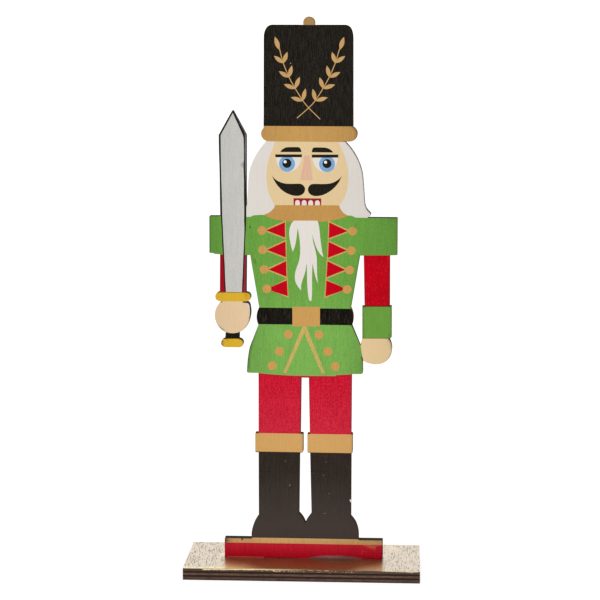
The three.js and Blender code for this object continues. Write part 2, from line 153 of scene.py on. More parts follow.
    ("print_char", "char", "S", [(30.96, 118.18, 1), (31.44, 117.97), (31.82, 117.00), (32.04, 115.69, 1), (31.51, 115.90), (31.12, 116.99)]),
    ("print_left_arm", "arm", "P", [(-46.63, 172.88), (-29.97, 172.71), (-30.01, 152.13), (-46.72, 151.99)]),
    ("print_left_arm", "arm_dark", "P", [(-32.66, 172.69), (-29.97, 172.71), (-30.01, 152.13), (-33.24, 152.11)]),
    ("print_left_arm", "arm_shade", "P", [(-46.63, 172.88), (-41.79, 172.83), (-41.86, 152.03), (-46.72, 151.99)]),
    ("print_sword_margin", "steel_dark", "P", [(-37.96, 256.32), (-30.04, 256.35), (-30.12, 212.85), (-30.45, 203.51), (-31.04, 203.50), (-34.14, 228.80), (-37.82, 248.92)]),
    ("print_sword_line", "line", "P", [(-46.93, 234.05), (-46.85, 256.29), (-37.91, 256.32), (-37.84, 249.98), (-37.18, 248.61), (-33.92, 242.06), (-32.41, 239.42), (-31.46, 237.20), (-31.49, 235.18), (-31.54, 233.59), (-31.58, 228.81), (-31.53, 223.50), (-31.52, 220.84), (-31.57, 218.17), (-31.13, 212.85), (-31.02, 207.51), (-30.91, 203.77), (-30.93, 193.60), (-31.01, 190.38), (-31.10, 187.16), (-31.27, 183.94), (-31.54, 180.72), (-31.57, 177.49), (-31.72, 174.26), (-31.86, 171.02), (-31.97, 166.71), (-32.14, 162.39), (-32.29, 158.07), (-32.64, 153.73), (-32.70, 151.57), (-42.46, 151.48), (-42.56, 153.65), (-42.87, 157.98), (-42.96, 162.30), (-43.11, 166.62), (-43.33, 170.94), (-43.49, 174.17), (-43.69, 177.40), (-43.86, 180.63), (-43.93, 183.85), (-44.08, 187.08), (-44.29, 190.30), (-44.49, 193.57), (-47.09, 193.60)]),
    ("print_sword_line", "line_red", "P", [(-43.46, 172.77), (-41.79, 172.78), (-41.06, 151.50), (-42.46, 151.48), (-42.56, 153.65), (-42.87, 157.98), (-42.96, 162.30), (-43.11, 166.62), (-43.33, 170.94)]),
    ("print_sword_line", "line_red", "P", [(-33.46, 172.68), (-31.77, 172.69), (-31.86, 171.02), (-31.97, 166.71), (-32.14, 162.39), (-32.29, 158.07), (-32.64, 153.73), (-32.70, 151.57), (-33.78, 151.56)]),
    ("print_blade", "steel", "P", [(-37.96, 248.45), (-32.66, 236.87), (-32.23, 235.18), (-32.21, 233.59), (-32.06, 228.81), (-32.11, 223.49), (-32.34, 220.83), (-32.26, 218.17), (-32.06, 212.84), (-32.08, 207.50), (-32.09, 202.16), (-31.96, 196.81), (-32.00, 193.59), (-32.03, 190.38), (-31.88, 187.16), (-31.94, 183.94), (-32.08, 180.71), (-32.16, 177.48), (-32.38, 174.25), (-32.53, 171.02), (-32.69, 166.70), (-32.80, 162.38), (-33.07, 158.06), (-33.24, 153.73), (-33.30, 151.56), (-41.86, 151.49), (-41.94, 153.66), (-42.22, 157.98), (-42.37, 162.31), (-42.49, 166.63), (-42.74, 170.94), (-42.87, 174.17), (-43.01, 177.40), (-43.17, 180.63), (-43.31, 183.86), (-43.41, 187.08), (-43.59, 190.30), (-43.74, 193.52), (-43.81, 196.73), (-43.87, 202.09), (-43.99, 207.43), (-44.18, 212.77), (-44.31, 220.77), (-44.39, 227.69), (-44.47, 236.61)]),
    ("print_fist", "hand", "P", [(-49.43, 148.17), (-26.78, 148.37), (-26.81, 128.82), (-49.51, 128.59)]),
    ("print_fist_edge", "pale", "S", [(-32.39, 146.75, 1), (-30.34, 146.71), (-29.37, 145.96), (-29.00, 144.01), (-28.89, 141.84, 1), (-29.38, 142.71), (-29.86, 144.66), (-30.88, 145.95)]),
    ("print_char", "char", "L", ([(-32.82, 147.18), (-31.42, 147.16), (-30.13, 146.96), (-29.32, 146.40), (-28.89, 145.32), (-28.68, 143.69), (-28.54, 141.85), (-28.66, 140.00), (-29.01, 138.26)], 0.808)),
    ("print_hilt", "yellow", "P", [(-49.41, 152.72), (-44.02, 152.55), (-31.08, 152.56), (-26.78, 152.70), (-26.78, 147.64), (-49.43, 147.44)]),
    ("print_grip", "belt", "P", [(-44.09, 130.88), (-42.15, 130.85), (-40.31, 130.37), (-38.37, 130.17), (-36.31, 130.41), (-34.69, 130.86), (-32.75, 130.94), (-32.75, 127.23), (-44.11, 127.12)]),
    ("print_hilt", "yellow", "P", [(-46.27, 127.13), (-31.13, 127.28), (-31.14, 121.69), (-46.29, 121.54)]),
    ("print_hem_line", "hem_line", "S", [(-25.76, 108.63, 1), (-19.26, 108.05), (-12.78, 107.63), (-7.37, 107.36), (-1.97, 107.25), (17.45, 107.35, 1), (17.66, 107.85, 1), (27.14, 108.44, 1), (27.15, 105.93, 1), (-25.76, 105.35, 1)]),
    ("print_legs", "leg", "S", [(-26.84, 108.07, 1), (-19.26, 107.56), (-12.78, 107.19), (-7.37, 106.97), (-1.97, 106.87), (17.45, 106.97, 1), (17.99, 107.41, 1), (28.21, 108.13, 1), (28.39, 75.50, 1), (20.82, 75.48, 1), (-22.54, 75.68, 1), (-26.88, 75.71, 1)]),
    ("print_knee_bands", "knee", "P", [(-29.06, 75.71), (-22.54, 75.68), (20.82, 75.48), (29.47, 75.48), (29.53, 65.18), (20.87, 65.23), (-22.55, 65.47), (-29.07, 65.47)]),
    ("print_boots", "boot", "P", [(-31.79, 65.49), (-22.55, 65.47), (20.87, 65.23), (32.78, 65.17), (33.06, 17.02), (30.18, 17.42), (-1.82, 17.54), (-28.33, 17.53), (-31.89, 17.53)]),
    ("print_bar_stripe", "stripe", "P", [(-45.59, 17.48), (-28.33, 17.53), (-1.82, 17.54), (30.18, 17.42), (46.11, 17.39), (46.13, 14.32), (43.36, 14.39), (-1.82, 14.53), (-43.02, 14.61), (-45.60, 14.63)]),
    ("print_bar", "bar", "P", [(-45.60, 14.63), (-43.02, 14.61), (-1.82, 14.53), (43.36, 14.39), (46.13, 14.32), (46.20, 5.05), (-45.63, 4.69)]),
    ("print_bar_foot", "worn_foot", "L", ([(-41.60, 6.70), (-32.00, 6.72), (-21.50, 6.60)], 0.550)),
    # painted shade: the worn_shade lines darken the foot bar along its bottom, where it meets the base top
    ("print_bar_foot", "worn_shade", "L", ([(-21.50, 6.60), (-12.00, 6.62), (-2.00, 6.60)], 0.550)),
    ("print_bar_foot", "worn_shade", "L", ([(33.00, 6.66), (38.00, 6.70), (43.20, 6.70)], 0.600)),
    ("print_chips", "bare", "S", [(25.17, 39.39), (25.65, 39.56), (26.31, 39.41), (26.53, 38.41), (26.21, 37.74), (25.61, 38.18)]),
    ("print_specks", "boot_light", "O", (-9.72, 60.30, 0.408, 0.272)),
    ("print_specks", "boot_light", "O", (-7.42, 47.03, 0.381, 0.544)),
    ("print_specks", "boot_light", "O", (10.83, 52.83, 0.299, 0.299)),
    ("print_specks", "boot_light", "O", (12.44, 60.04, 0.271, 0.271)),
    ("print_specks", "boot_light", "O", (5.51, 53.81, 0.272, 0.190)),
    ("print_specks", "boot_light", "O", (11.55, 31.63, 0.599, 0.229)),
    ("print_specks", "boot_light", "O", (13.91, 42.67, 0.408, 0.190)),
    ("print_char", "char", "L", ([(45.70, 128.23), (46.51, 127.47), (47.11, 126.50), (47.55, 125.31), (47.67, 123.90)], 0.804)),
    ("print_right_cuff_line", "cuff_line", "L", ([(31.06, 128.16), (38.84, 128.21), (47.31, 128.24)], 0.322)),
    ("print_right_cuff_line", "line_red", "L", ([(32.51, 145.46), (38.72, 145.52), (46.32, 145.58)], 0.375)),
    ("print_nicks", "burnt", "O", (-44.20, 147.13, 0.432, 0.297)),
    ("print_nicks", "burnt", "O", (-32.39, 147.24, 0.593, 0.269)),
    ("print_nicks", "burnt", "S", [(-33.92, 16.88), (-33.20, 17.11), (-32.82, 16.67), (-33.32, 15.88), (-33.86, 16.21)]),
    ("print_nicks", "green_dark", "S", [(-29.14, 188.14), (-28.55, 188.26), (-28.34, 187.51), (-28.77, 186.97), (-29.20, 187.39)]),
    ("print_flakes", "flake", "O", (33.73, 14.02, 0.272, 0.190)),
    ("print_flakes", "flake", "O", (34.50, 13.70, 0.299, 0.218)),
    ("print_flakes", "flake", "O", (35.04, 14.10, 0.326, 0.190)),
    ("print_flakes", "flake", "O", (35.42, 13.32, 0.245, 0.218)),
    ("print_flakes", "flake", "O", (35.91, 13.89, 0.381, 0.245)),
    ("print_flakes", "flake", "O", (36.24, 13.16, 0.272, 0.245)),
    ("print_flakes", "flake", "O", (36.67, 13.67, 0.354, 0.245)),
    ("print_flakes", "flake", "O", (36.90, 12.90, 0.272, 0.218)),
    ("print_flakes", "flake", "O", (37.32, 13.91, 0.326, 0.218)),
    ("print_flakes", "flake", "O", (37.55, 13.35, 0.326, 0.272)),
    ("print_flakes", "flake", "O", (37.77, 12.74, 0.245, 0.245)),
    ("print_flakes", "flake", "O", (38.14, 13.81, 0.299, 0.218)),
    ("print_flakes", "flake", "O", (38.42, 13.14, 0.272, 0.245)),
    ("print_flakes", "flake", "O", (38.74, 13.99, 0.326, 0.190)),
    ("print_flakes", "flake", "O", (38.91, 13.37, 0.245, 0.218)),
    ("print_flakes", "flake", "O", (39.07, 12.65, 0.245, 0.272)),
    ("print_flakes", "flake", "O", (39.34, 13.33, 0.190, 0.190)),
    ("print_flakes", "flake", "O", (39.77, 13.89, 0.272, 0.163)),
    ("print_flakes", "flake", "O", (38.64, 12.09, 0.218, 0.218)),
    ("print_flakes", "flake", "O", (37.94, 11.85, 0.163, 0.163)),
    ("print_flakes", "flake", "O", (36.46, 12.39, 0.163, 0.163)),
    ("print_flakes", "flake", "O", (34.94, 12.75, 0.163, 0.136)),
    ("print_flakes", "flake", "O", (33.08, 13.84, 0.190, 0.136)),
    ("print_flakes", "flake", "O", (40.48, 13.79, 0.163, 0.136)),
    ("print_flakes", "flake", "O", (32.66, 10.76, 0.163, 0.163)),
    ("print_flakes", "flake", "O", (31.91, 9.74, 0.152, 0.152)),
    ("print_flakes", "flake", "O", (34.19, 10.45, 0.120, 0.120)),
    ("print_flakes", "flake", "O", (32.33, 11.54, 0.120, 0.120)),
    ("print_flakes", "flake", "O", (39.03, 11.31, 0.136, 0.163)),
    ("print_flakes", "flake", "O", (29.83, 10.94, 0.109, 0.109)),
    ("print_flakes", "stripe_light", "O", (31.98, 16.22, 0.272, 0.163)),
    ("print_flakes", "stripe_light", "O", (34.38, 15.70, 0.326, 0.163)),
    ("print_flakes", "stripe_light", "O", (36.76, 16.41, 0.272, 0.190)),
    ("print_flakes", "stripe_light", "O", (38.23, 16.66, 0.489, 0.218)),
    ("print_flakes", "stripe_light", "O", (40.14, 16.02, 0.272, 0.163)),
    ("print_flakes", "stripe_light", "O", (41.66, 16.38, 0.326, 0.190)),
    ("print_flakes", "stripe_light", "O", (35.25, 15.05, 0.218, 0.136)),
    ("print_flakes", "stripe_light", "O", (39.38, 15.22, 0.218, 0.163)),
    ("print_flakes", "stripe_light", "O", (42.10, 15.38, 0.217, 0.163)),
    ("print_flakes", "stripe_light", "O", (29.36, 16.69, 0.327, 0.163)),
    ("print_smears", "green_brown", "S", [(-27.18, 170.31), (-26.54, 170.85), (-25.89, 170.53), (-25.47, 169.46), (-25.68, 168.16), (-26.22, 167.62), (-26.81, 168.26), (-27.13, 169.23)]),
    ("print_smears", "steel_dim", "S", [(-33.95, 221.04), (-33.30, 221.89), (-32.45, 222.43), (-32.45, 219.55), (-33.20, 219.76)]),
    ("print_smears", "orange", "S", [(-32.38, 151.90), (-30.76, 151.80), (-29.80, 151.05), (-29.69, 149.64), (-30.23, 148.66), (-31.41, 149.09), (-32.06, 150.49)]),
    ("print_flakes", "flake", "O", (-43.69, 152.23, 0.701, 0.270)),
    ("print_flakes", "flake", "O", (-31.73, 152.23, 0.754, 0.269)),
    ("print_nicks", "guard_line", "P", [(-46.98, 152.75), (-44.02, 152.55), (-31.08, 152.56), (-29.20, 152.36), (-29.20, 152.14), (-31.09, 152.18), (-44.02, 152.15), (-46.98, 152.20)]),
]
# end of print layers


# ------------------------------------------------------------------ outlines
def catmull(p0, p1, p2, p3, t):
    return 0.5 * (2 * p1 + (p2 - p0) * t + (2 * p0 - 5 * p1 + 4 * p2 - p3) * t * t + (3 * p1 - p0 - 3 * p2 + p3) * t ** 3)


def smooth_outline(points, n=6):
    pts = [np.array(p[:2], float) for p in points]
    corner = [len(p) > 2 for p in points]
    m, out = len(pts), []
    for i in range(m):
        p1, p2, c1, c2 = pts[i], pts[(i + 1) % m], corner[i], corner[(i + 1) % m]
        if c1 and c2:
            out.append(p1)
            continue
        p0 = 2 * p1 - p2 if c1 else pts[i - 1]
        p3 = 2 * p2 - p1 if c2 else pts[(i + 2) % m]
        out += [catmull(p0, p1, p2, p3, k / n) for k in range(n)]
    return np.array(out)


def line_outline(points, width, n=5):
    q = [np.array(p, float) for p in points]
    mid = []
    for i in range(len(q) - 1):
        p0 = q[i - 1] if i else 2 * q[0] - q[1]
        p3 = q[i + 2] if i + 2 < len(q) else 2 * q[-1] - q[-2]
        mid += [catmull(p0, q[i], q[i + 1], p3, k / n) for k in range(n)]
    mid = np.array(mid + [q[-1]])
    d = np.gradient(mid, axis=0)
    d /= np.linalg.norm(d, axis=1)[:, None]
    side = np.stack([-d[:, 1], d[:, 0]], 1) * width / 2
    return np.concatenate([mid + side, (mid - side)[::-1]])


def leaf_outline(foot, tip, width, n=9):
    foot, tip = np.array(foot, float), np.array(tip, float)
    along = tip - foot
    across = np.array([-along[1], along[0]]) / np.linalg.norm(along)
    s = np.linspace(0, 1, n + 1)
    half = width / 2 * np.sin(np.pi * s ** 0.94) ** 0.95
    half[0] = half[-1] = 0.0
    a = foot + s[:, None] * along + half[:, None] * across
    b = foot + s[:, None] * along - half[:, None] * across
    return np.concatenate([a, b[::-1][1:-1]])


def outline_of(kind, data):
    if kind == "P":
        return np.array([p[:2] for p in data], float)
    if kind == "S":
        return smooth_outline(data)
    if kind == "O":
        x, z, rx, rz = data
        a = np.linspace(0, 2 * math.pi, 32 if max(rx, rz) > 1.5 else 14, endpoint=False)
        return np.stack([x + rx * np.cos(a), z + rz * np.sin(a)], 1)
    if kind == "F":
        return leaf_outline(*data)
    return line_outline(*data)


def inside(points, loop):
    """Even-odd test of many points against one closed loop."""
    x, z = points[:, 0], points[:, 1]
    hit = np.zeros(len(points), bool)
    a, b = loop, np.roll(loop, -1, 0)
    for (ax, az), (bx, bz) in zip(a, b):
        if az == bz:
            continue
        hit ^= ((az > z) != (bz > z)) & (x < (bx - ax) * (z - az) / (bz - az) + ax)
    return hit


def distance(points, loops):
    """Distance of each point to the nearest edge of the loops."""
    best = np.full(len(points), 1e9)
    for loop in loops:
        for a, b in zip(loop, np.roll(loop, -1, 0)):
            e = b - a
            t = np.clip(((points - a) @ e) / max(e @ e, 1e-12), 0, 1)
            d = points - a - t[:, None] * e
            best = np.minimum(best, np.einsum("ij,ij->i", d, d))
    return np.sqrt(best)


def nearest_edge(points, loops):
    """Distance of each point to the nearest edge of the loops, and the way that edge faces."""
    best, facing = np.full(len(points), 1e9), np.zeros((len(points), 2))
    ring = loops[0]
    turn = np.sign(np.sum(ring[:, 0] * np.roll(ring[:, 1], -1) - np.roll(ring[:, 0], -1) * ring[:, 1]))
    for loop in loops:
        for a, b in zip(loop, np.roll(loop, -1, 0)):
            e = b - a
            t = np.clip(((points - a) @ e) / max(e @ e, 1e-12), 0, 1)
            d = points - a - t[:, None] * e
            d2 = np.einsum("ij,ij->i", d, d)
            near = d2 < best
            best[near] = d2[near]
            facing[near] = turn * np.array([e[1], -e[0]]) / max(math.hypot(*e), 1e-9)
    return np.sqrt(best), facing


def face_loops(node, y):
    """Boundary loops, in mm, of a CAD node's flat face at that y."""
    mesh = node.data
    key = {}
    ids = [key.setdefault((round(v.co.x * 1e6), round(v.co.z * 1e6)), len(key)) if abs(v.co.y - y) < 2e-6 else -1 for v in mesh.vertices]
    place = {i: k for k, i in key.items()}
    seen = {}
    for p in mesh.polygons:
        ring = [ids[i] for i in p.vertices]
        if min(ring) < 0:
            continue
        for a, b in zip(ring, ring[1:] + ring[:1]):
            seen[(a, b)] = seen.get((a, b), 0) + 1
    after = {a: b for a, b in seen if (b, a) not in seen}
    loops = []
    while after:
        start, ring = next(iter(after)), []
        at = start
        while at in after:
            ring.append(at)
            at = after.pop(at)
        loops.append(np.array([place[i] for i in ring], float) / 1000.0)
    return sorted(loops, key=len, reverse=True)


def inset_runs(loop, loops, depth):
    """Runs of points lying depth inside a loop, left out where corners would fold over."""
    a = loop - np.roll(loop, 1, 0)
    b = np.roll(loop, -1, 0) - loop
    a /= np.linalg.norm(a, axis=1)[:, None] + 1e-12
    b /= np.linalg.norm(b, axis=1)[:, None] + 1e-12
    n = np.stack([-(a + b)[:, 1], (a + b)[:, 0]], 1)
    n /= np.linalg.norm(n, axis=1)[:, None] + 1e-12
    half = np.clip(np.einsum("ij,ij->i", n, np.stack([-a[:, 1], a[:, 0]], 1)), 0.35, 1)
    pts = loop + n * (depth / half)[:, None]
    if not inside(pts, loops[0]).mean() > 0.5 or sum(inside(pts, l).mean() > 0.5 for l in loops[1:]):
        pts = loop - n * (depth / half)[:, None]
    good = distance(pts, loops) > depth * 0.93
    runs, run = [], []
    for p, ok in zip(pts, good):
        if ok and (not run or np.linalg.norm(p - run[-1]) > 0.05):
            run.append(p)
        elif not ok and run:
            runs.append(run)
            run = []
    if run:
        runs.append(run)
    return [r for r in runs if len(r) > 1]


def partition(loops, shapes, depths):
    """Cuts the flat face bounded by loops along every shape. Returns points, triangles and each triangle's topmost shape."""
    verts, edges = [], []

    def put(points, closed):
        base = len(verts)
        verts.extend(Vector((float(p[0]), float(p[1]))) for p in points)
        edges.extend((base + i, base + i + 1) for i in range(len(points) - 1))
        if closed:
            edges.append((base + len(points) - 1, base))

    for loop in loops:
        put(loop, True)
    for shape in shapes:
        put(shape, True)
    for depth in depths:
        for loop in loops:
            for run in inset_runs(loop, loops, depth):
                put(run, False)
    out = delaunay_2d_cdt(verts, edges, [], 0, 1e-4)
    pts = np.array([tuple(v) for v in out[0]], float)
    tris = np.array([f[:] for f in out[2] if len(f) == 3], int)
    area = np.cross(pts[tris[:, 1]] - pts[tris[:, 0]], pts[tris[:, 2]] - pts[tris[:, 0]]) / 2
    tris = tris[np.abs(area) > 1e-7]
    mid = pts[tris].mean(1)
    keep = inside(mid, loops[0])
    for hole in loops[1:]:
        keep &= ~inside(mid, hole)
    tris, mid = tris[keep], mid[keep]
    top = np.full(len(tris), -1)
    for i, shape in enumerate(shapes):
        lo, hi = shape.min(0), shape.max(0)
        near = np.where(((mid >= lo) & (mid <= hi)).all(1))[0]
        if len(near):
            top[near[inside(mid[near], shape)]] = i
    return pts, tris, top


def film(name, pts, tris, y0, y1, values=None):
    """A closed thin solid standing on the triangles, from plane y0 (mm) out to plane y1."""
    used, tri = np.unique(tris, return_inverse=True)
    tri = tri.reshape(-1, 3)
    p = pts[used]
    area = np.cross(p[tri[:, 1]] - p[tri[:, 0]], p[tri[:, 2]] - p[tri[:, 0]])
    tri[area < 0] = tri[area < 0][:, ::-1]
    n = len(p)
    out = np.concatenate([np.stack([p[:, 0], np.full(n, y1), p[:, 1]], 1), np.stack([p[:, 0], np.full(n, y0), p[:, 1]], 1)]) * MM
    front = [tuple(t) for t in tri]
    back = [tuple(t[::-1] + n) for t in tri]
    count = set()
    for a, b, c in front:
        count |= {(a, b), (b, c), (c, a)}
    side = [(b, a, a + n, b + n) for a, b in count if (b, a) not in count]
    faces = front + back + side
    if y1 > y0:
        faces = [f[::-1] for f in faces]
    mesh = bpy.data.meshes.new(name)
    mesh.from_pydata([tuple(v) for v in out], [], [tuple(int(i) for i in f) for f in faces])
    mesh.update()
    if values is not None:
        layer = mesh.attributes.new("edge", "FLOAT", "POINT")
        layer.data.foreach_set("value", np.concatenate([values[used]] * 2).astype(np.float32))
    obj = bpy.data.objects.new(name, mesh)
    bpy.context.scene.collection.objects.link(obj)
    return obj


# ------------------------------------------------------------------ material helpers
def linear(rgb):
    return [(c / 255 / 12.92) if c / 255 <= 0.04045 else ((c / 255 + 0.055) / 1.055) ** 2.4 for c in rgb] + [1.0]


def tone(rgb, k):
    return [min(1.0, c * k) for c in linear(rgb)[:3]] + [1.0]


class Tree:
    """A material's nodes, made by short calls. A value that is a socket is linked, any other is set."""

    def __init__(self, name):
        self.mat = bpy.data.materials.new(name)
        self.mat.use_nodes = True
        self.nt = self.mat.node_tree
        self.nt.nodes.clear()
        self.place = self.add("ShaderNodeTexCoord").outputs["Object"]
        self.turned = {"XYZ": self.place}

    def add(self, kind, **values):
        node = self.nt.nodes.new(kind)
        for k, v in values.items():
            setattr(node, k, v)
        return node

    def put(self, socket, value):
        if isinstance(value, bpy.types.NodeSocket):
            self.nt.links.new(value, socket)
        elif isinstance(value, (tuple, list)) and len(value) == 3 and socket.type == "RGBA":
            socket.default_value = list(value) + [1.0]
        elif isinstance(value, (tuple, list)) and len(value) == 4 and socket.type == "VECTOR":
            socket.default_value = value[:3]
        else:
            socket.default_value = value

    def axis(self, vector, name):
        node = self.add("ShaderNodeSeparateXYZ")
        self.put(node.inputs[0], vector)
        return node.outputs[name]

    def order(self, axes):
        """Object coordinates with their axes in another order."""
        if axes not in self.turned:
            node = self.add("ShaderNodeCombineXYZ")
            for i, a in enumerate(axes):
                self.put(node.inputs[i], self.axis(self.place, a))
            self.turned[axes] = node.outputs[0]
        return self.turned[axes]

    def scaled(self, scale, shift, axes):
        node = self.add("ShaderNodeMapping")
        self.put(node.inputs["Vector"], self.order(axes))
        node.inputs["Scale"].default_value = scale
        node.inputs["Location"].default_value = shift
        return node.outputs[0]

    def noise(self, scale, detail=2.0, rough=0.55, shift=(0, 0, 0), distort=0.0, axes="XYZ", dims="3D"):
        node = self.add("ShaderNodeTexNoise", noise_dimensions=dims)
        self.put(node.inputs["Vector"], self.scaled(scale, shift, axes))
        node.inputs["Scale"].default_value = 1.0
        node.inputs["Detail"].default_value = detail
        node.inputs["Roughness"].default_value = rough
        node.inputs["Distortion"].default_value = distort
        return node.outputs[0]

    def dashes(self, scale, size, share, shift=(0, 0, 0), axes="XYZ", dims="2D"):
        """Short separate marks, one in a share of the cells of a stretched grid. size is their half length in cells."""
        node = self.add("ShaderNodeTexVoronoi", voronoi_dimensions=dims)
        self.put(node.inputs["Vector"], self.scaled(scale, shift, axes))
        node.inputs["Scale"].default_value = 1.0
        near = self.ramp(node.outputs["Distance"], size * 0.55, size, 1.0, 0.0)
        return self.math("MULTIPLY", near, self.ramp(self.axis(node.outputs["Color"], "X"), 1 - share - 0.02, 1 - share))

    def ramp(self, value, lo, hi, a=0.0, b=1.0, smooth=False):
        node = self.add("ShaderNodeMapRange", clamp=True, interpolation_type="SMOOTHSTEP" if smooth else "LINEAR")
        self.put(node.inputs["Value"], value)
        for k, v in zip(("From Min", "From Max", "To Min", "To Max"), (lo, hi, a, b)):
            self.put(node.inputs[k], v)
        return node.outputs[0]

    def math(self, op, a, b=0.0, c=None):
        node = self.add("ShaderNodeMath", operation=op)
        self.put(node.inputs[0], a)
        self.put(node.inputs[1], b)
        if c is not None:
            self.put(node.inputs[2], c)
        return node.outputs[0]

    def blend(self, *parts):
        """Weighted sum of (socket, weight) pairs."""
        total = self.math("MULTIPLY", *parts[0])
        for s, w in parts[1:]:
            total = self.math("MULTIPLY_ADD", s, w, total)
        return total

    def mix(self, fac, a, b, blend="MIX"):
        node = self.add("ShaderNodeMix", data_type="RGBA", blend_type=blend, clamp_factor=True)
        self.put(node.inputs[0], fac)
        self.put(node.inputs[6], a)
        self.put(node.inputs[7], b)
        return node.outputs[2]

    def times(self, colour, value):
        node = self.add("ShaderNodeVectorMath", operation="SCALE")
        self.put(node.inputs[0], colour)
        self.put(node.inputs["Scale"], value)
        return node.outputs[0]

    def normal(self):
        return self.add("ShaderNodeNewGeometry").outputs["Normal"]

    def from_edge(self, reach, crisp=False):
        """1 at the panel's cut edge, falling off over reach mm, with a clear end when crisp."""
        d = self.math("MULTIPLY", self.add("ShaderNodeAttribute", attribute_name="edge").outputs["Fac"], 1.0 / reach)
        return self.math("POWER", 2.71828, self.math("MULTIPLY", self.math("MULTIPLY", d, d) if crisp else d, -1.0))

    def bump(self, height, distance, strength=1.0):
        node = self.add("ShaderNodeBump")
        node.inputs["Strength"].default_value = strength
        node.inputs["Distance"].default_value = distance
        self.put(node.inputs["Height"], height)
        return node.outputs[0]

    def finish(self, colour, roughness, normal=None, **plain):
        shader = self.add("ShaderNodeBsdfPrincipled")
        self.put(shader.inputs["Base Color"], colour)
        self.put(shader.inputs["Roughness"], roughness)
        if normal is not None:
            self.put(shader.inputs["Normal"], normal)
        for k, v in plain.items():
            self.put(shader.inputs[k.replace("_", " ")], v)
        out = self.add("ShaderNodeOutputMaterial")
        self.nt.links.new(shader.outputs[0], out.inputs["Surface"])
        return self.mat


# ------------------------------------------------------------------ the print
CHAR = (44, 34, 27)


def ink(name, rgb, seed, low=None, span=(200, 110), depth=0.16, veil=0.004, pore=0.35, pore_tone=None, pore_size=(1150, 105), fleck=0.0, rough=0.6, scorch=0.95, reach=0.36, fall=52.0, mid=0.0, sides=1.0, crisp=False, weave=(0.22, 0.26, 0.40, 0.12), calm=None):
    """Flat print on grained veneer: uneven streaks and fibres upright along the grain, open pores, a scorched rim.
    low is the colour at the foot of span (mm up): painted light and shade, which makes the print lighter lower down on
    coat, legs and boots, as if lit from the floor, and darker towards the foot bar's bottom, as shade, and calm is the
    span over which the grain dies away."""
    t = Tree("ink_" + name)
    s = seed
    streak = t.noise((820, 48, 1), 3, 0.6, (s, s * 2, 0), 0.0, "XZY", "2D")
    fibre = t.noise((2000, 170, 1), 2, 0.55, (s * 3, s, 0), 0.0, "XZY", "2D")
    grit = t.noise((1700, 900, 1), 2, 0.6, (s, s * 4, 0), 0.0, "XZY", "2D")
    cloud = t.noise((95, 40, 1), 2, 0.5, (s * 5, s, 0), 0.0, "XZY", "2D")
    level = t.ramp(t.blend(*zip((streak, fibre, grit, cloud), weave)), 0.38, 0.62)
    if calm:
        level = t.math("MULTIPLY_ADD", t.math("SUBTRACT", level, 0.5), t.ramp(t.axis(t.place, "Z"), calm[1] * MM, calm[0] * MM, 0.3, 1.0), 0.5)
    colour = linear(rgb)
    # painted light and shade: the colour turns to low along span
    if low:
        colour = t.mix(t.ramp(t.axis(t.place, "Z"), span[0] * MM, span[1] * MM), linear(rgb), linear(low))
    x = t.axis(t.place, "X")
    away = t.math("SUBTRACT", x, mid)
    shade = t.math("MULTIPLY_ADD", t.math("MULTIPLY", away, away), -fall, 1.0)
    if sides < 1:
        skirt = t.ramp(t.axis(t.place, "Z"), 0.130, 0.136, 1.0, 0.0)
        near = t.ramp(t.math("ABSOLUTE", t.math("SUBTRACT", x, 0.0007)), 0.017, 0.029, 0.0, 1 - sides)
        shade = t.math("SUBTRACT", shade, t.math("MULTIPLY", skirt, near))
    colour = t.times(colour, t.math("MULTIPLY", shade, t.ramp(level, 0.0, 1.0, 1 - depth, 1 + depth)))
    if veil:
        colour = t.mix(t.math("MULTIPLY", level, veil), colour, (1.0, 1.0, 1.0), "ADD")
    pores = t.dashes((pore_size[0], pore_size[1], 1), 0.2, 0.4, (s, s, 0), "XZY")
    colour = t.mix(t.math("MULTIPLY", pores, pore), colour, pore_tone or tone(rgb, 0.6))
    if fleck:
        dots = t.dashes((900, 520, 1), 0.2, 0.22, (s * 2, s, 0), "XZY")
        colour = t.mix(t.math("MULTIPLY", dots, fleck), colour, linear((215, 70, 80)))
    burnt = t.math("MULTIPLY", t.from_edge(reach, crisp), t.ramp(t.noise((800, 800, 1), 2, 0.6, (s, 0, 0), 0.0, "XZY", "2D"), 0.3, 0.7, scorch * 0.7, scorch * 1.15))
    colour = t.mix(burnt, colour, linear(CHAR))
    height = t.math("MULTIPLY_ADD", pores, -0.8, level)
    return t.finish(colour, t.ramp(streak, 0.3, 0.7, rough - 0.06, rough + 0.08), t.bump(height, 0.00003, 0.5), Specular_IOR_Level=0.03)


front_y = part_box("figure_front_veneer")[0].y
back_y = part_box("figure_back_veneer")[1].y
front_loops = face_loops(nodes["figure_front_veneer"], front_y)
shapes = [outline_of(kind, data) for _, _, kind, data in ART]
pts, tris, top = partition(front_loops, shapes, (0.5, 1.6))
gap, facing = nearest_edge(pts, front_loops)
# edges facing up and to the right are scorched more, and so are the skirt's and the left sleeve's left edges
lean = np.maximum(facing @ np.array([0.6, 0.8]), 0.9 * facing[:, 0])
smoke = 0.1 + 0.9 * np.clip((lean - 0.45) / 0.5, 0, 1)
heavy = (facing[:, 0] > 0.3) & (((pts[:, 0] > 20) & (pts[:, 1] > 193.2)) | ((pts[:, 0] > 24) & (pts[:, 1] > 122) & (pts[:, 1] < 136)))
smoke = smoke * np.where(heavy, 1.9, 1.0)
skirt = np.clip((-17 - pts[:, 0]) / 4, 0, 1) * np.clip((pts[:, 1] - 106) / 6, 0, 1) * np.clip((136 - pts[:, 1]) / 5, 0, 1)
sleeve = (pts[:, 0] < -47.5) & (pts[:, 1] > 172) & (facing[:, 0] < -0.7)
arm = (pts[:, 0] > 31) & (pts[:, 1] > 146) & (pts[:, 1] < 172.6) & (np.abs(facing[:, 0]) > 0.8)
ends = ((pts[:, 1] < 17.2) | ((pts[:, 0] > 31) & (pts[:, 1] > 128) & (pts[:, 1] < 146))) & (np.abs(facing[:, 0]) > 0.7)
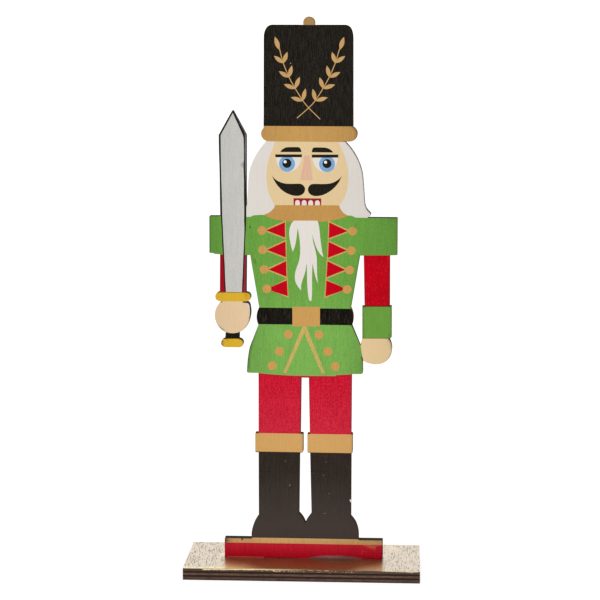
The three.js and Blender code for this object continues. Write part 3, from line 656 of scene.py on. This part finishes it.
legs = (pts[:, 1] > 76) & (pts[:, 1] < 107) & (np.abs(facing[:, 0]) > 0.7)
smoke = np.maximum(smoke, np.max([1.2 * ends, 0.8 * legs, 2.3 * skirt * (facing[:, 0] < -0.5), 2.0 * sleeve, np.where(facing[:, 0] > 0, 2.2, 1.1) * arm], 0))
gap = np.minimum(gap, 4.0) / smoke

# low and span paint light and shade into the print: coat, legs and boots lighter lower down, the foot bar darker
# towards its bottom
STYLE = {
    "green": dict(low=(116, 168, 77), span=(160, 130), depth=0.13, fall=92.0, sides=0.90), "cuff": dict(depth=0.08), "arm": dict(depth=0.28, fleck=0.42, veil=0), "arm_dark": dict(depth=0.12), "arm_shade": dict(depth=0.12, veil=0), "line_red": dict(depth=0.1, veil=0), "wedge": dict(depth=0.13, veil=0),
    "leg": dict(depth=0.21, veil=0.014, fleck=0.30, pore=0.14, weave=(0.09, 0.30, 0.54, 0.07), low=(194, 26, 51), span=(106, 78)), "hat": dict(depth=0.56, veil=0.003, pore=0.4, pore_tone=linear((64, 58, 50)), pore_size=(1500, 80), weave=(0.10, 0.44, 0.40, 0.06)),
    "boot": dict(depth=0.22, veil=0.004, low=(68, 59, 55), span=(55, 24), pore_tone=linear((88, 78, 70)), pore=0.16, calm=(50, 28)), "belt": dict(depth=0.85, pore=0.8, pore_tone=linear((62, 54, 46))), "black": dict(depth=0.25, pore=0.1),
    "hair": dict(depth=0.03, pore=0.06, veil=0, fall=14.0, mid=-0.02, reach=0.22, crisp=True), "white": dict(depth=0.03, pore=0.05, veil=0), "tooth": dict(depth=0.04, pore=0.05, veil=0), "light": dict(depth=0.03, pore=0.0, veil=0), "blue": dict(depth=0.06, pore=0.1, veil=0),
    "skin": dict(depth=0.04, pore=0.07, veil=0), "hand": dict(depth=0.035, pore=0.06, veil=0), "hand_right": dict(depth=0.035, pore=0.06, veil=0), "pink": dict(depth=0.04, pore=0.08, veil=0), "bare": dict(depth=0.04, pore=0.1, veil=0, scorch=0.1), "steel": dict(depth=0.08, pore=0.12, veil=0), "gold": dict(depth=0.08, pore=0.18, veil=0, fall=230.0, mid=0.0005), "finial": dict(depth=0.06, pore=0.15, veil=0, scorch=0.5), "collar": dict(depth=0.08, pore=0.18, veil=0),
    "laurel": dict(depth=0.12, pore=0.2), "knee": dict(depth=0.05, pore=0.12), "buckle": dict(depth=0.05, pore=0.14), "button": dict(depth=0.1, pore=0.2), "yellow": dict(depth=0.06, pore=0.14), "stripe": dict(depth=0.12, pore=0.3, low=(213, 167, 108), span=(14.3, 16.8), fall=110.0, mid=-0.008),
    "bar": dict(depth=0.12, veil=0.003, low=(180, 2, 29), span=(14.3, 7.3), fall=70.0, mid=-0.008),
}
groups = {}
for i, (piece, ink_name, kind, data) in enumerate(ART):
    groups.setdefault((piece, ink_name), []).append(i)
names = {}
for piece, ink_name in groups:
    names.setdefault(piece, []).append(ink_name)
materials = {name: ink(name, INKS[name], 3.7 * n + 1.3, **STYLE.get(name, {})) for n, name in enumerate(sorted(INKS))}
for (piece, ink_name), members in groups.items():
    chosen = tris[np.isin(top, members)]
    if not len(chosen):
        continue
    label = piece if len(names[piece]) == 1 else piece + "_" + ink_name
    obj = film(label, pts, chosen, front_y / MM + 0.005, front_y / MM - INK_FILM, gap)
    obj.data.materials.append(materials[ink_name])
    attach(obj, "root")

# ------------------------------------------------------------------ the sanded back face
back_loops = face_loops(nodes["figure_back_veneer"], back_y)
bpts, btris, _ = partition(back_loops, [], (0.5, 1.6, 3.5))
back = film("back_face", bpts, btris, back_y / MM - 0.005, back_y / MM + SKIN, np.minimum(distance(bpts, back_loops), 8.0))
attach(back, "root")


def birch_colour(t, axes, dims="2D"):
    """Pale birch with its grain along the second of the axes: growth bands, streaks, fibres and short dark pores."""
    band = t.noise((170, 6, 170), 3, 0.5, (4.2, 1.1, 0.3), 0.6, axes, dims)
    streak = t.noise((900, 28, 900), 4, 0.6, (9.0, 2.0, 5.0), 0.0, axes, dims)
    fibre = t.noise((4200, 200, 4200), 2, 0.5, (0, 0, 0), 0.0, axes, dims)
    pore = t.dashes((1300, 120, 1), 0.2, 0.4, (0, 0, 0), axes)
    colour = t.mix(t.ramp(band, 0.32, 0.68), linear((205, 172, 126)), linear((224, 197, 156)))
    colour = t.mix(t.math("MULTIPLY", t.ramp(streak, 0.40, 0.72), 0.55), colour, linear((188, 148, 102)))
    colour = t.mix(t.math("MULTIPLY", t.ramp(fibre, 0.35, 0.7), 0.25), colour, linear((238, 217, 182)))
    colour = t.mix(t.math("MULTIPLY", pore, 0.6), colour, linear((128, 92, 58)))
    return colour, t.math("MULTIPLY_ADD", pore, -0.7, t.blend((streak, 0.5), (fibre, 0.5))), streak


t = Tree("birch_back")
colour, height, streak = birch_colour(t, "XZY")
blotch = t.noise((240, 240, 1), 3, 0.55, (1, 2, 0), 0.0, "XZY", "2D")
colour = t.mix(t.math("MULTIPLY", t.from_edge(1.5), t.ramp(blotch, 0.3, 0.7, 0.25, 0.85)), colour, linear((112, 76, 46)))
colour = t.mix(t.math("MULTIPLY", t.from_edge(0.3), 0.95), colour, linear((44, 32, 24)))
back.data.materials.append(t.finish(colour, t.ramp(streak, 0.3, 0.7, 0.58, 0.72), t.bump(height, 0.00005, 0.5), Specular_IOR_Level=0.3))


# ------------------------------------------------------------------ scorched cut edges of the panel
def panel_edge(name, light, dark):
    """A laser-cut edge: char with fine kerf lines across the thickness, browner where the char is thin."""
    t = Tree(name)
    kerf = t.noise((2400, 60, 2400), 3, 0.6)
    patch = t.noise((120, 260, 120), 3, 0.55, (2, 5, 1))
    level = t.blend((t.ramp(kerf, 0.3, 0.7), 0.6), (t.ramp(patch, 0.3, 0.7), 0.4))
    colour = t.mix(level, linear(dark), linear(light))
    y = t.axis(t.place, "Y")
    for seam in (v.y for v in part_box("figure_core_veneer")):
        line = t.ramp(t.math("ABSOLUTE", t.math("SUBTRACT", y, seam)), 0.00004, 0.0002, 0.7, 0.0)
        colour = t.mix(line, colour, linear((22, 16, 13)))
    height = t.blend((kerf, 0.7), (patch, 0.3))
    return t.finish(colour, t.ramp(height, 0.3, 0.7, 0.65, 0.85), t.bump(height, 0.0001, 0.6), Specular_IOR_Level=0.06)


for name, light, dark in (("figure_front_veneer", (50, 39, 31), (22, 17, 14)), ("figure_core_veneer", (42, 33, 26), (18, 14, 11)), ("figure_back_veneer", (62, 48, 37), (26, 20, 16))):
    nodes[name].data.materials.clear()
    nodes[name].data.materials.append(panel_edge("edge_" + name, light, dark))


# ------------------------------------------------------------------ base veneers
def ply_colour(t, light, dark, seams):
    """A scorched ply edge: streaks along the edge, small pale flecks, dark glue lines at the seams."""
    run = t.noise((190, 190, 2600), 3, 0.6, (1.7, 0.3, 0))
    fine = t.noise((1300, 1300, 1900), 2, 0.6, (3.1, 7.0, 0))
    patch = t.noise((60, 60, 60), 2, 0.5, (0.2, 0.9, 0))
    level = t.ramp(t.blend((run, 0.5), (fine, 0.34), (patch, 0.16)), 0.37, 0.64)
    colour = t.mix(level, linear(dark), linear(light))
    z = t.axis(t.place, "Z")
    wave = t.math("MULTIPLY_ADD", t.noise((90, 90, 1), 2), 0.00024, t.math("SUBTRACT", z, 0.00012))
    for seam in seams:
        line = t.ramp(t.math("ABSOLUTE", t.math("SUBTRACT", wave, seam * MM)), 0.00010, 0.0004, 0.75, 0.0)
        colour = t.mix(line, colour, linear((26, 18, 14)))
    return colour, level


def base_ply(node, light, dark, seams):
    """A base veneer: scorched round its edge, bare birch on its underside."""
    t = Tree("edge_" + node)
    colour, height = ply_colour(t, light, dark, seams)
    bare, grain_height, _ = birch_colour(t, "XYZ")
    dx = t.math("SUBTRACT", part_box(node)[1].x, t.math("ABSOLUTE", t.axis(t.place, "X")))
    dy = t.math("SUBTRACT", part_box(node)[1].y, t.math("ABSOLUTE", t.axis(t.place, "Y")))
    rim = t.math("POWER", 2.71828, t.math("MULTIPLY", t.math("MINIMUM", dx, dy), -700.0))
    bare = t.mix(t.math("MULTIPLY", rim, t.ramp(t.noise((240, 240, 1), 3), 0.3, 0.7, 0.3, 0.95)), bare, linear((92, 62, 40)))
    under = t.ramp(t.axis(t.normal(), "Z"), -0.6, -0.4, 1.0, 0.0)
    colour = t.mix(under, colour, bare)
    height = t.math("MULTIPLY_ADD", grain_height, under, height)
    return t.finish(colour, t.ramp(height, 0.3, 0.9, 0.65, 0.85), t.bump(height, 0.0001, 0.5), Specular_IOR_Level=0.15)


LIGHT_PLY, DARK_PLY = ((114, 85, 71), (58, 41, 33)), ((52, 34, 24), (25, 15, 10))
TOP_PLY, BOTTOM_PLY = ((90, 64, 47), (46, 31, 22)), ((104, 76, 64), (52, 36, 29))
# the bottom veneer gets dark lines at 0 and 0.25 mm, which darken it along its lower edge
for name, (light, dark) in {"base_bottom_veneer": BOTTOM_PLY, "base_lower_crossband": DARK_PLY, "base_core_veneer": LIGHT_PLY, "base_upper_crossband": DARK_PLY}.items():
    lo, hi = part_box(name)
    nodes[name].data.materials.clear()
    nodes[name].data.materials.append(base_ply(name, light, dark, (0.0, 0.25) if name == "base_bottom_veneer" else (lo.z / MM, hi.z / MM) if light == DARK_PLY[0] else ()))

# ------------------------------------------------------------------ gold paint on the base's top
GOLD = (178, 151, 105)
DAB = (("X", -0.0453, 0.0021), ("Y", 0.0005, 0.0062))


def gold_paint(t, rgb):
    """Metallic gold paint over open-pored veneer, its grain running front to back."""
    long = t.dashes((1700, 70, 1), 0.26, 0.42, (0.3, 0.7, 0))
    short = t.dashes((1900, 190, 1), 0.26, 0.55, (5.3, 1.7, 0))
    streak = t.noise((1100, 24, 1), 3, 0.6, (2, 0, 0), 0.0, "XYZ", "2D")
    grit = t.noise((1500, 420, 1), 2, 0.6, (7, 3, 0), 0.0, "XYZ", "2D")
    cloud = t.noise((75, 30, 1), 3, 0.5, (0, 4, 0), 0.0, "XYZ", "2D")
    paint = t.mix(t.ramp(cloud, 0.35, 0.65), tone(rgb, 0.92), tone(rgb, 1.08))
    paint = t.mix(t.math("MULTIPLY", t.ramp(streak, 0.42, 0.68), 0.3), paint, tone(rgb, 0.75))
    paint = t.mix(t.math("MULTIPLY", t.ramp(grit, 0.36, 0.64), 0.35), paint, tone(rgb, 1.25))
    mark = t.math("MAXIMUM", long, t.math("MULTIPLY", short, 0.9))
    x, y = t.axis(t.place, "X"), t.axis(t.place, "Y")
    # more of them open at the left, and those where the figure stands are filled
    more = t.dashes((1500, 135, 1), 0.26, 0.26, (8.1, 2.9, 0))
    mark = t.math("MAXIMUM", mark, t.math("MULTIPLY", more, t.ramp(x, -0.038, -0.030, 1.0, 0.0)))
    filled = t.math("MULTIPLY", t.ramp(t.math("ABSOLUTE", x), 0.034, 0.050, 0.5, 0.0), t.ramp(y, -0.002, 0.004, 1.0, 0.0))
    mark = t.math("MULTIPLY", mark, t.math("SUBTRACT", 1.0, filled))
    paint = t.mix(t.math("MULTIPLY", mark, 0.95), paint, linear((52, 44, 38)))
    # painted reflection and shade of the foot bar: in front of it the gold is darker and duller, in a patch that
    # narrows towards the front
    u = t.math("SUBTRACT", front_y, y)
    blur = t.math("MULTIPLY_ADD", u, 0.7, 0.006)
    left = t.ramp(t.math("DIVIDE", t.math("MULTIPLY_ADD", u, -0.55, t.math("ADD", x, 0.0495)), blur), 0.0, 1.0)
    right = t.ramp(t.math("DIVIDE", t.math("MULTIPLY_ADD", u, -0.28, t.math("SUBTRACT", 0.0510, x)), blur), 0.0, 1.0)
    before = t.ramp(y, -0.006, -0.003, 1.0, 0.0)
    bar_reflection = t.math("MULTIPLY", t.math("MULTIPLY", left, right), t.math("MULTIPLY", before, 0.68))
    bar_reflection = t.math("MULTIPLY", bar_reflection, t.ramp(t.math("ABSOLUTE", x), 0.0420, 0.0465, 1.0, 0.0))
    paint = t.mix(bar_reflection, paint, linear((103, 90, 37)))
    # painted light: by the bar's ends, beside the painted reflection, the paint is lighter and less metallic and
    # glossy, more so towards the front
    ends = t.math("MULTIPLY", t.math("SUBTRACT", 1.0, t.math("MULTIPLY", left, right)), t.ramp(t.math("ABSOLUTE", x), 0.0410, 0.0465, 1.0, 0.0))
    lit = t.math("MULTIPLY", t.math("MULTIPLY", ends, before), t.ramp(u, 0.006, 0.021, 0.0, 0.5))
    paint = t.mix(lit, paint, linear((240, 210, 142)))
    height = t.blend((mark, -1.0), (streak, 0.2), (grit, 0.2))
    rough = t.math("MULTIPLY_ADD", mark, 0.3, t.ramp(cloud, 0.3, 0.7, 0.34, 0.40))
    return paint, rough, height, t.math("MULTIPLY_ADD", bar_reflection, -0.5, t.math("MULTIPLY_ADD", lit, -0.6, t.math("MULTIPLY_ADD", mark, -0.85, 1.0))), t.math("MULTIPLY_ADD", lit, -0.6, 0.78)


t = Tree("gold_top")
paint, rough, height, gloss, metal = gold_paint(t, GOLD)
# the paint lies thicker and yellower along the front
reach = t.ramp(t.axis(t.place, "X"), -0.044, -0.022, 0.0, -0.0052)
front = t.ramp(t.math("SUBTRACT", t.math("MULTIPLY_ADD", t.noise((90, 60, 1), 3), 0.008, t.axis(t.place, "Y")), reach), -0.0170, -0.0225, 0.0, 0.8)
front = t.math("MULTIPLY", front, t.ramp(t.axis(t.place, "X"), -0.040, 0.020, 1.0, 0.12))
paint = t.mix(front, paint, linear((226, 200, 130)))
# a painted highlight along the arris in the middle, and a burnt edge towards the right
ragged_y = t.math("MULTIPLY_ADD", t.noise((500, 60, 1), 2, 0.6, (6, 1, 0), 0.0, "XYZ", "2D"), 0.0012, t.math("SUBTRACT", t.axis(t.place, "Y"), 0.0006))
arris_highlight = t.math("MULTIPLY", t.ramp(ragged_y, -0.0258, -0.0270, 0.0, 0.8), t.math("MULTIPLY", t.ramp(t.axis(t.place, "X"), -0.036, -0.026), t.ramp(t.axis(t.place, "X"), -0.008, 0.008, 1.0, 0.1)))
paint = t.mix(arris_highlight, paint, linear((236, 208, 160)))
rim = t.math("MULTIPLY", t.ramp(ragged_y, -0.0268, -0.0276, 0.0, 0.9), t.math("MULTIPLY", t.ramp(t.axis(t.place, "X"), 0.026, 0.033), t.ramp(t.axis(t.place, "X"), 0.041, 0.046, 1.0, 0.0)))
paint = t.mix(rim, paint, linear((70, 45, 28)))
gloss = t.math("MULTIPLY", gloss, t.math("MULTIPLY_ADD", t.math("MAXIMUM", arris_highlight, rim), -0.8, 1.0))
metal = t.math("MULTIPLY", metal, t.math("MULTIPLY_ADD", t.math("MAXIMUM", arris_highlight, rim), -0.8, 1.0))
spot = t.noise((110, 60, 1), 2, 0.5, (3.1, 0.4, 0), 0.4, "XYZ", "2D")
paint = t.mix(t.math("MULTIPLY", t.ramp(spot, 0.62, 0.74, 0.0, 0.35), t.ramp(t.axis(t.place, "Y"), -0.002, 0.004)), paint, linear((226, 200, 130)))
# a thick yellow dab by the bar's left end
dab = t.math("MULTIPLY_ADD", t.noise((700, 160, 1), 2, 0.6, (1.3, 2.2, 0), 0.0, "XYZ", "2D"), 1.1, t.math("ADD", *(t.math("POWER", t.math("ABSOLUTE", t.math("DIVIDE", t.math("SUBTRACT", t.axis(t.place, k), at), size)), 2.0) for k, at, size in DAB)))
paint = t.mix(t.ramp(dab, 0.5, 1.7, 0.5, 0.0), paint, linear((240, 214, 136)))
lo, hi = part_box("base_top_veneer")
cut, cut_height = ply_colour(t, *TOP_PLY, ())
burnt = t.ramp(t.math("MULTIPLY_ADD", t.noise((300, 300, 300), 2), 0.004, t.axis(t.place, "X")), -0.049, -0.0515, 0.0, 0.85)
cut = t.mix(burnt, cut, linear((62, 44, 26)))
side = t.ramp(t.axis(t.normal(), "Z"), 0.4, 0.6, 1.0, 0.0)
flat = t.ramp(side, 0.0, 1.0, 1.0, 0.0)
height = t.math("MULTIPLY_ADD", t.math("MULTIPLY", cut_height, side), 0.8, t.math("MULTIPLY", height, flat))
nodes["base_top_veneer"].data.materials.clear()
nodes["base_top_veneer"].data.materials.append(t.finish(t.mix(side, paint, cut), t.math("MAXIMUM", t.math("MULTIPLY", rough, flat), t.math("MULTIPLY", side, 0.75)), t.bump(height, 0.00006, 0.6), Metallic=t.math("MULTIPLY", flat, metal), Coat_Weight=t.math("MULTIPLY", flat, gloss), Coat_Roughness=0.22, Coat_IOR=1.80))

# ------------------------------------------------------------------ gold that ran over the base's edges
dice = random.Random(11)
W, D, TOP = (v / MM for v in hi)


def solid(name, verts, faces):
    mesh = bpy.data.meshes.new(name)
    mesh.from_pydata([tuple(c * MM for c in v) for v in verts], [], faces)
    bm = bmesh.new()
    bm.from_mesh(mesh)
    bmesh.ops.recalc_face_normals(bm, faces=bm.faces)
    bm.to_mesh(mesh)
    bm.free()
    obj = bpy.data.objects.new(name, mesh)
    bpy.context.scene.collection.objects.link(obj)
    return obj


def runs_of(control, step=0.22):
    """Ragged runs along an edge from (place, drop, gap under the arris) points, in mm. A run ends where the drop is nothing."""
    c = np.array(control, float)
    s = np.arange(c[0, 0], c[-1, 0], step)
    drop = np.interp(s, c[:, 0], c[:, 1])
    rest = np.interp(s, c[:, 0], c[:, 2])
    wobble = 1.0
    runs, run = [], []
    for a, d, g in zip(s, drop, rest):
        wobble = 0.6 * wobble + 0.4 * dice.uniform(0.62, 1.38)
        if d > 0.06:
            run.append((a, TOP - g, TOP - g - d * wobble))
        elif run:
            runs.append(run)
            run = []
    if run:
        runs.append(run)
    return [r for r in runs if len(r) > 2]


def paint_runs(name, control, to_world, thick=0.06):
    verts, faces = [], []
    for run in runs_of(control):
        k = len(verts)
        for s, hi_z, lo_z in run:
            for z, out in ((hi_z, -0.01), (lo_z, -0.01), (lo_z + 0.02, thick), (hi_z - 0.01, thick)):
                verts.append(to_world(s, z, out))
        n = len(run)
        faces.append((k, k + 1, k + 2, k + 3))
        for i in range(n - 1):
            a, b = k + 4 * i, k + 4 * (i + 1)
            faces += [(a + j, b + j, b + (j + 1) % 4, a + (j + 1) % 4) for j in range(4)]
        faces.append(tuple(k + 4 * (n - 1) + j for j in (3, 2, 1, 0)))
    return solid(name, verts, faces)


def flecks(name, spots, to_world, thick=0.04):
    verts, faces = [], []
    for s, z, rs, rz in spots:
        k, n = len(verts), 9
        for out in (-0.01, thick):
            for i in range(n):
                a = 2 * math.pi * i / n
                r = dice.uniform(0.75, 1.2)
                verts.append(to_world(s + rs * r * math.cos(a), min(TOP - 0.02, z + rz * r * math.sin(a)), out))
        faces.append(tuple(range(k, k + n)))
        faces.append(tuple(range(k + 2 * n - 1, k + n - 1, -1)))
        faces += [(k + i, k + (i + 1) % n, k + n + (i + 1) % n, k + n + i) for i in range(n)]
    return solid(name, verts, faces)


def on_front(s, z, out):
    return (s, -D - out, z)


def on_back(s, z, out):
    return (s, D + out, z)


def on_left(s, z, out):
    return (-W - out, s, z)


def on_right(s, z, out):
    return (W + out, s, z)


FRONT_RUNS = [
    (-53.2, 0.00, 0.24), (-52.9, 0.18, 0.24), (-52.0, 0.58, 0.24), (-48.5, 0.50, 0.22), (-46.0, 0.40, 0.22), (-40.7, 0.50, 0.18), (-38.5, 0.58, 0.04), (-32.7, 0.48, 0.00), (-27.3, 0.50, 0.00), (-23.0, 0.36, 0.00),
    (-20.0, 0.29, 0.00), (-18.5, 0.32, 0.00), (-18.1, 0.56, 0.00), (-17.6, 0.28, 0.00), (-15.1, 0.29, 0.00), (-14.8, 0.88, 0.00), (-14.3, 0.66, 0.00), (-14.0, 0.29, 0.00), (-9.6, 0.31, 0.00), (-5.9, 0.24, 0.00), (-0.5, 0.20, 0.00),
    (0.9, 0.11, 0.00), (1.5, 0.00, 0.00), (3.4, 0.00, 0.02), (3.8, 0.24, 0.02), (6.3, 0.25, 0.02), (6.9, 0.00, 0.02), (8.5, 0.00, 0.02), (8.8, 0.28, 0.02), (10.6, 0.22, 0.02), (11.0, 0.00, 0.02), (12.2, 0.00, 0.02), (12.5, 0.34, 0.02),
    (15.0, 0.29, 0.02), (15.4, 0.00, 0.02), (24.4, 0.00, 0.02), (24.7, 0.25, 0.02), (25.4, 0.00, 0.02), (26.6, 0.00, 0.02), (26.9, 0.21, 0.02), (27.4, 0.00, 0.02), (29.0, 0.00, 0.02), (29.4, 0.28, 0.02), (30.2, 0.00, 0.02), (31.2, 0.08, 0.00),
    (32.2, 0.12, 0.00), (32.8, 0.00, 0.00), (41.6, 0.00, 0.00), (43.4, 0.14, 0.00), (47.7, 0.20, 0.00), (50.9, 0.26, 0.00), (54.6, 0.28, 0.00), (57.4, 0.43, 0.00), (58.9, 0.62, 0.00), (60.0, 0.40, 0.00), (61.7, 0.28, 0.00), (62.6, 0.23, 0.00),
]


def ragged(half):
    """Places, drops and gaps for an edge that the photograph doesn't show."""
    s, out = -half + 0.8, []
    while s < half - 1.5:
        if dice.random() < 0.22:
            gap_len = dice.uniform(0.8, 5.0)
            out += [(s, 0.0, 0.0), (s + gap_len, 0.0, 0.0)]
            s += gap_len + 0.3
        else:
            out.append((s, dice.uniform(0.3, 0.8) + (0.7 if dice.random() < 0.07 else 0.0), 0.0))
            s += dice.uniform(1.2, 3.6)
    return out + [(half - 0.8, 0.3, 0.0)]


def spatter(n, a, b, low):
    return [(dice.uniform(a, b), TOP - dice.uniform(0.25, low), dice.uniform(0.10, 0.34), dice.uniform(0.07, 0.17)) for _ in range(n)]


marks = [(-13.9, 5.45, 0.42, 0.17), (-12.8, 5.57, 0.40, 0.15), (-11.8, 5.30, 0.30, 0.16), (-10.9, 5.63, 0.36, 0.14), (-9.0, 5.25, 0.28, 0.14), (-6.7, 5.57, 0.34, 0.16), (-5.4, 5.35, 0.42, 0.16), (-4.3, 5.65, 0.30, 0.14), (-3.6, 5.25, 0.36, 0.17),
         (-2.6, 5.55, 0.30, 0.15), (-0.5, 5.60, 0.26, 0.12), (-20.9, 5.55, 0.22, 0.12), (24.0, 5.30, 0.30, 0.14), (25.6, 5.50, 0.34, 0.14), (27.0, 5.25, 0.36, 0.15), (28.2, 5.40, 0.26, 0.13), (22.4, 5.55, 0.22, 0.12)]
rims = [
    paint_runs("gold_run_front", FRONT_RUNS, on_front), paint_runs("gold_run_back", ragged(W), on_back), paint_runs("gold_run_left", ragged(D), on_left), paint_runs("gold_run_right", ragged(D), on_right),
    flecks("gold_flecks_front", marks + spatter(26, -17, 31, 1.2), on_front), flecks("gold_flecks_back", spatter(30, -58, 58, 1.3), on_back), flecks("gold_flecks_left", spatter(12, -25, 25, 1.3), on_left), flecks("gold_flecks_right", spatter(12, -25, 25, 1.3), on_right),
]
t = Tree("gold_rim")
dapple = t.noise((420, 420, 900), 3, 0.6)
fine = t.noise((1800, 1800, 1800), 2, 0.6)
colour = t.mix(t.ramp(t.blend((dapple, 0.6), (fine, 0.4)), 0.38, 0.62), linear((224, 190, 132)), linear((255, 240, 196)))
worn = t.ramp(t.axis(t.place, "X"), -0.016, -0.004, 0.0, 0.8)
colour = t.mix(worn, colour, t.mix(t.ramp(fine, 0.35, 0.65), linear((140, 108, 74)), linear((214, 184, 150))))
rim_gold = t.finish(colour, t.ramp(dapple, 0.3, 0.7, 0.3, 0.45), t.bump(dapple, 0.00005, 0.5), Metallic=t.ramp(fine, 0.3, 0.7, 0.75, 1.0))
for obj in rims:
    obj.data.materials.append(rim_gold)
    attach(obj, "root")

# ------------------------------------------------------------------ glue
t = Tree("dried_glue")
haze = t.noise((420, 420, 700), 3, 0.55)
x = t.math("ABSOLUTE", t.math("SUBTRACT", t.axis(t.place, "X"), 0.0175))
thin = t.ramp(x, 0.004, 0.0145, 0.0, 0.8)
low = t.mix(t.ramp(haze, 0.3, 0.7), linear((84, 52, 44)), linear((110, 68, 58)))
bead_highlight = t.mix(t.ramp(haze, 0.3, 0.7), linear((120, 70, 72)), linear((158, 96, 100)))
# painted highlight: the bead's upper part, from 6.9 to 8.0 mm up, is lighter and pinker
milk = t.mix(t.ramp(t.axis(t.place, "Z"), 0.0069, 0.0080), low, bead_highlight)
milk = t.mix(t.ramp(t.axis(t.place, "X"), 0.017, 0.022, 0.0, 0.6), milk, linear((84, 60, 50)))
nodes["glue_bead_front"].data.materials.clear()
nodes["glue_bead_front"].data.materials.append(t.finish(t.mix(thin, milk, linear((118, 34, 38))), t.ramp(haze, 0.3, 0.7, 0.3, 0.45), t.bump(haze, 0.00008, 0.4), Specular_IOR_Level=0.15))

# ------------------------------------------------------------------ floor, light and camera
floor_mesh = bpy.data.meshes.new("floor")
floor_mesh.from_pydata([(-6, -6, 0), (6, -6, 0), (6, 6, 0), (-6, 6, 0)], [], [(0, 1, 2, 3)])
floor = bpy.data.objects.new("floor", floor_mesh)
bpy.context.scene.collection.objects.link(floor)
floor.location.z = -0.00005
t = Tree("floor_white")
floor_mesh.materials.append(t.finish(t.mix(t.noise((3, 3, 3), 2), (0.27, 0.27, 0.27), (0.29, 0.29, 0.29)), 0.9, Emission_Color=(1.0, 1.0, 1.0), Emission_Strength=0.8, Specular_IOR_Level=0.0))

WALL = 1.25
world = bpy.data.worlds.new("studio")
world.use_nodes = True
sky = world.node_tree
sky.nodes["Background"].inputs["Color"].default_value = (1, 1, 1, 1)
way = sky.nodes.new("ShaderNodeSeparateXYZ")
sky.links.new(sky.nodes.new("ShaderNodeTexCoord").outputs["Generated"], way.inputs[0])
wall = sky.nodes.new("ShaderNodeMapRange")
for k, v in {"From Min": 0.3, "From Max": 0.8, "To Min": 1.0, "To Max": WALL}.items():
    wall.inputs[k].default_value = v
sky.links.new(way.outputs["Y"], wall.inputs["Value"])
sky.links.new(wall.outputs["Result"], sky.nodes["Background"].inputs["Strength"])
bpy.context.scene.world = world


def area(name, at, aim, size, power):
    data = bpy.data.lights.new(name, "AREA")
    data.shape, data.size, data.size_y, data.energy = "RECTANGLE", size[0], size[1], power
    obj = bpy.data.objects.new(name, data)
    obj.location = at
    obj.rotation_euler = (Vector(aim) - Vector(at)).to_track_quat("-Z", "Y").to_euler()
    bpy.context.scene.collection.objects.link(obj)


area("key", (-0.9, -1.2, 1.3), (0, 0, 0.15), (1.0, 1.0), 1.6)
area("fill", (1.1, -1.0, 0.9), (0, 0, 0.15), (1.0, 1.0), 0.8)

yaw, pitch, roll = 0.05331, 0.1322, -0.00171
fwd = Vector((-math.sin(yaw) * math.cos(pitch), math.cos(yaw) * math.cos(pitch), -math.sin(pitch)))
right = Vector((math.cos(yaw), math.sin(yaw), 0))
down = fwd.cross(right)
r2 = math.cos(roll) * right + math.sin(roll) * down
d2 = -math.sin(roll) * right + math.cos(roll) * down
cam_data = bpy.data.cameras.new("camera")
cam_data.sensor_width = 36.0
cam_data.lens = 119.06
cam_data.clip_start, cam_data.clip_end = 0.01, 50
camera = bpy.data.objects.new("camera", cam_data)
camera.matrix_world = Matrix([[r2[i], -d2[i], -fwd[i], (0.054181, -1.057767, 0.288902)[i]] for i in range(3)] + [[0, 0, 0, 1]])
bpy.context.scene.collection.objects.link(camera)
bpy.context.scene.camera = camera
bpy.context.scene.view_settings.view_transform = "Standard"
bpy.context.scene.view_settings.look = "None"

bpy.context.view_layer.update()
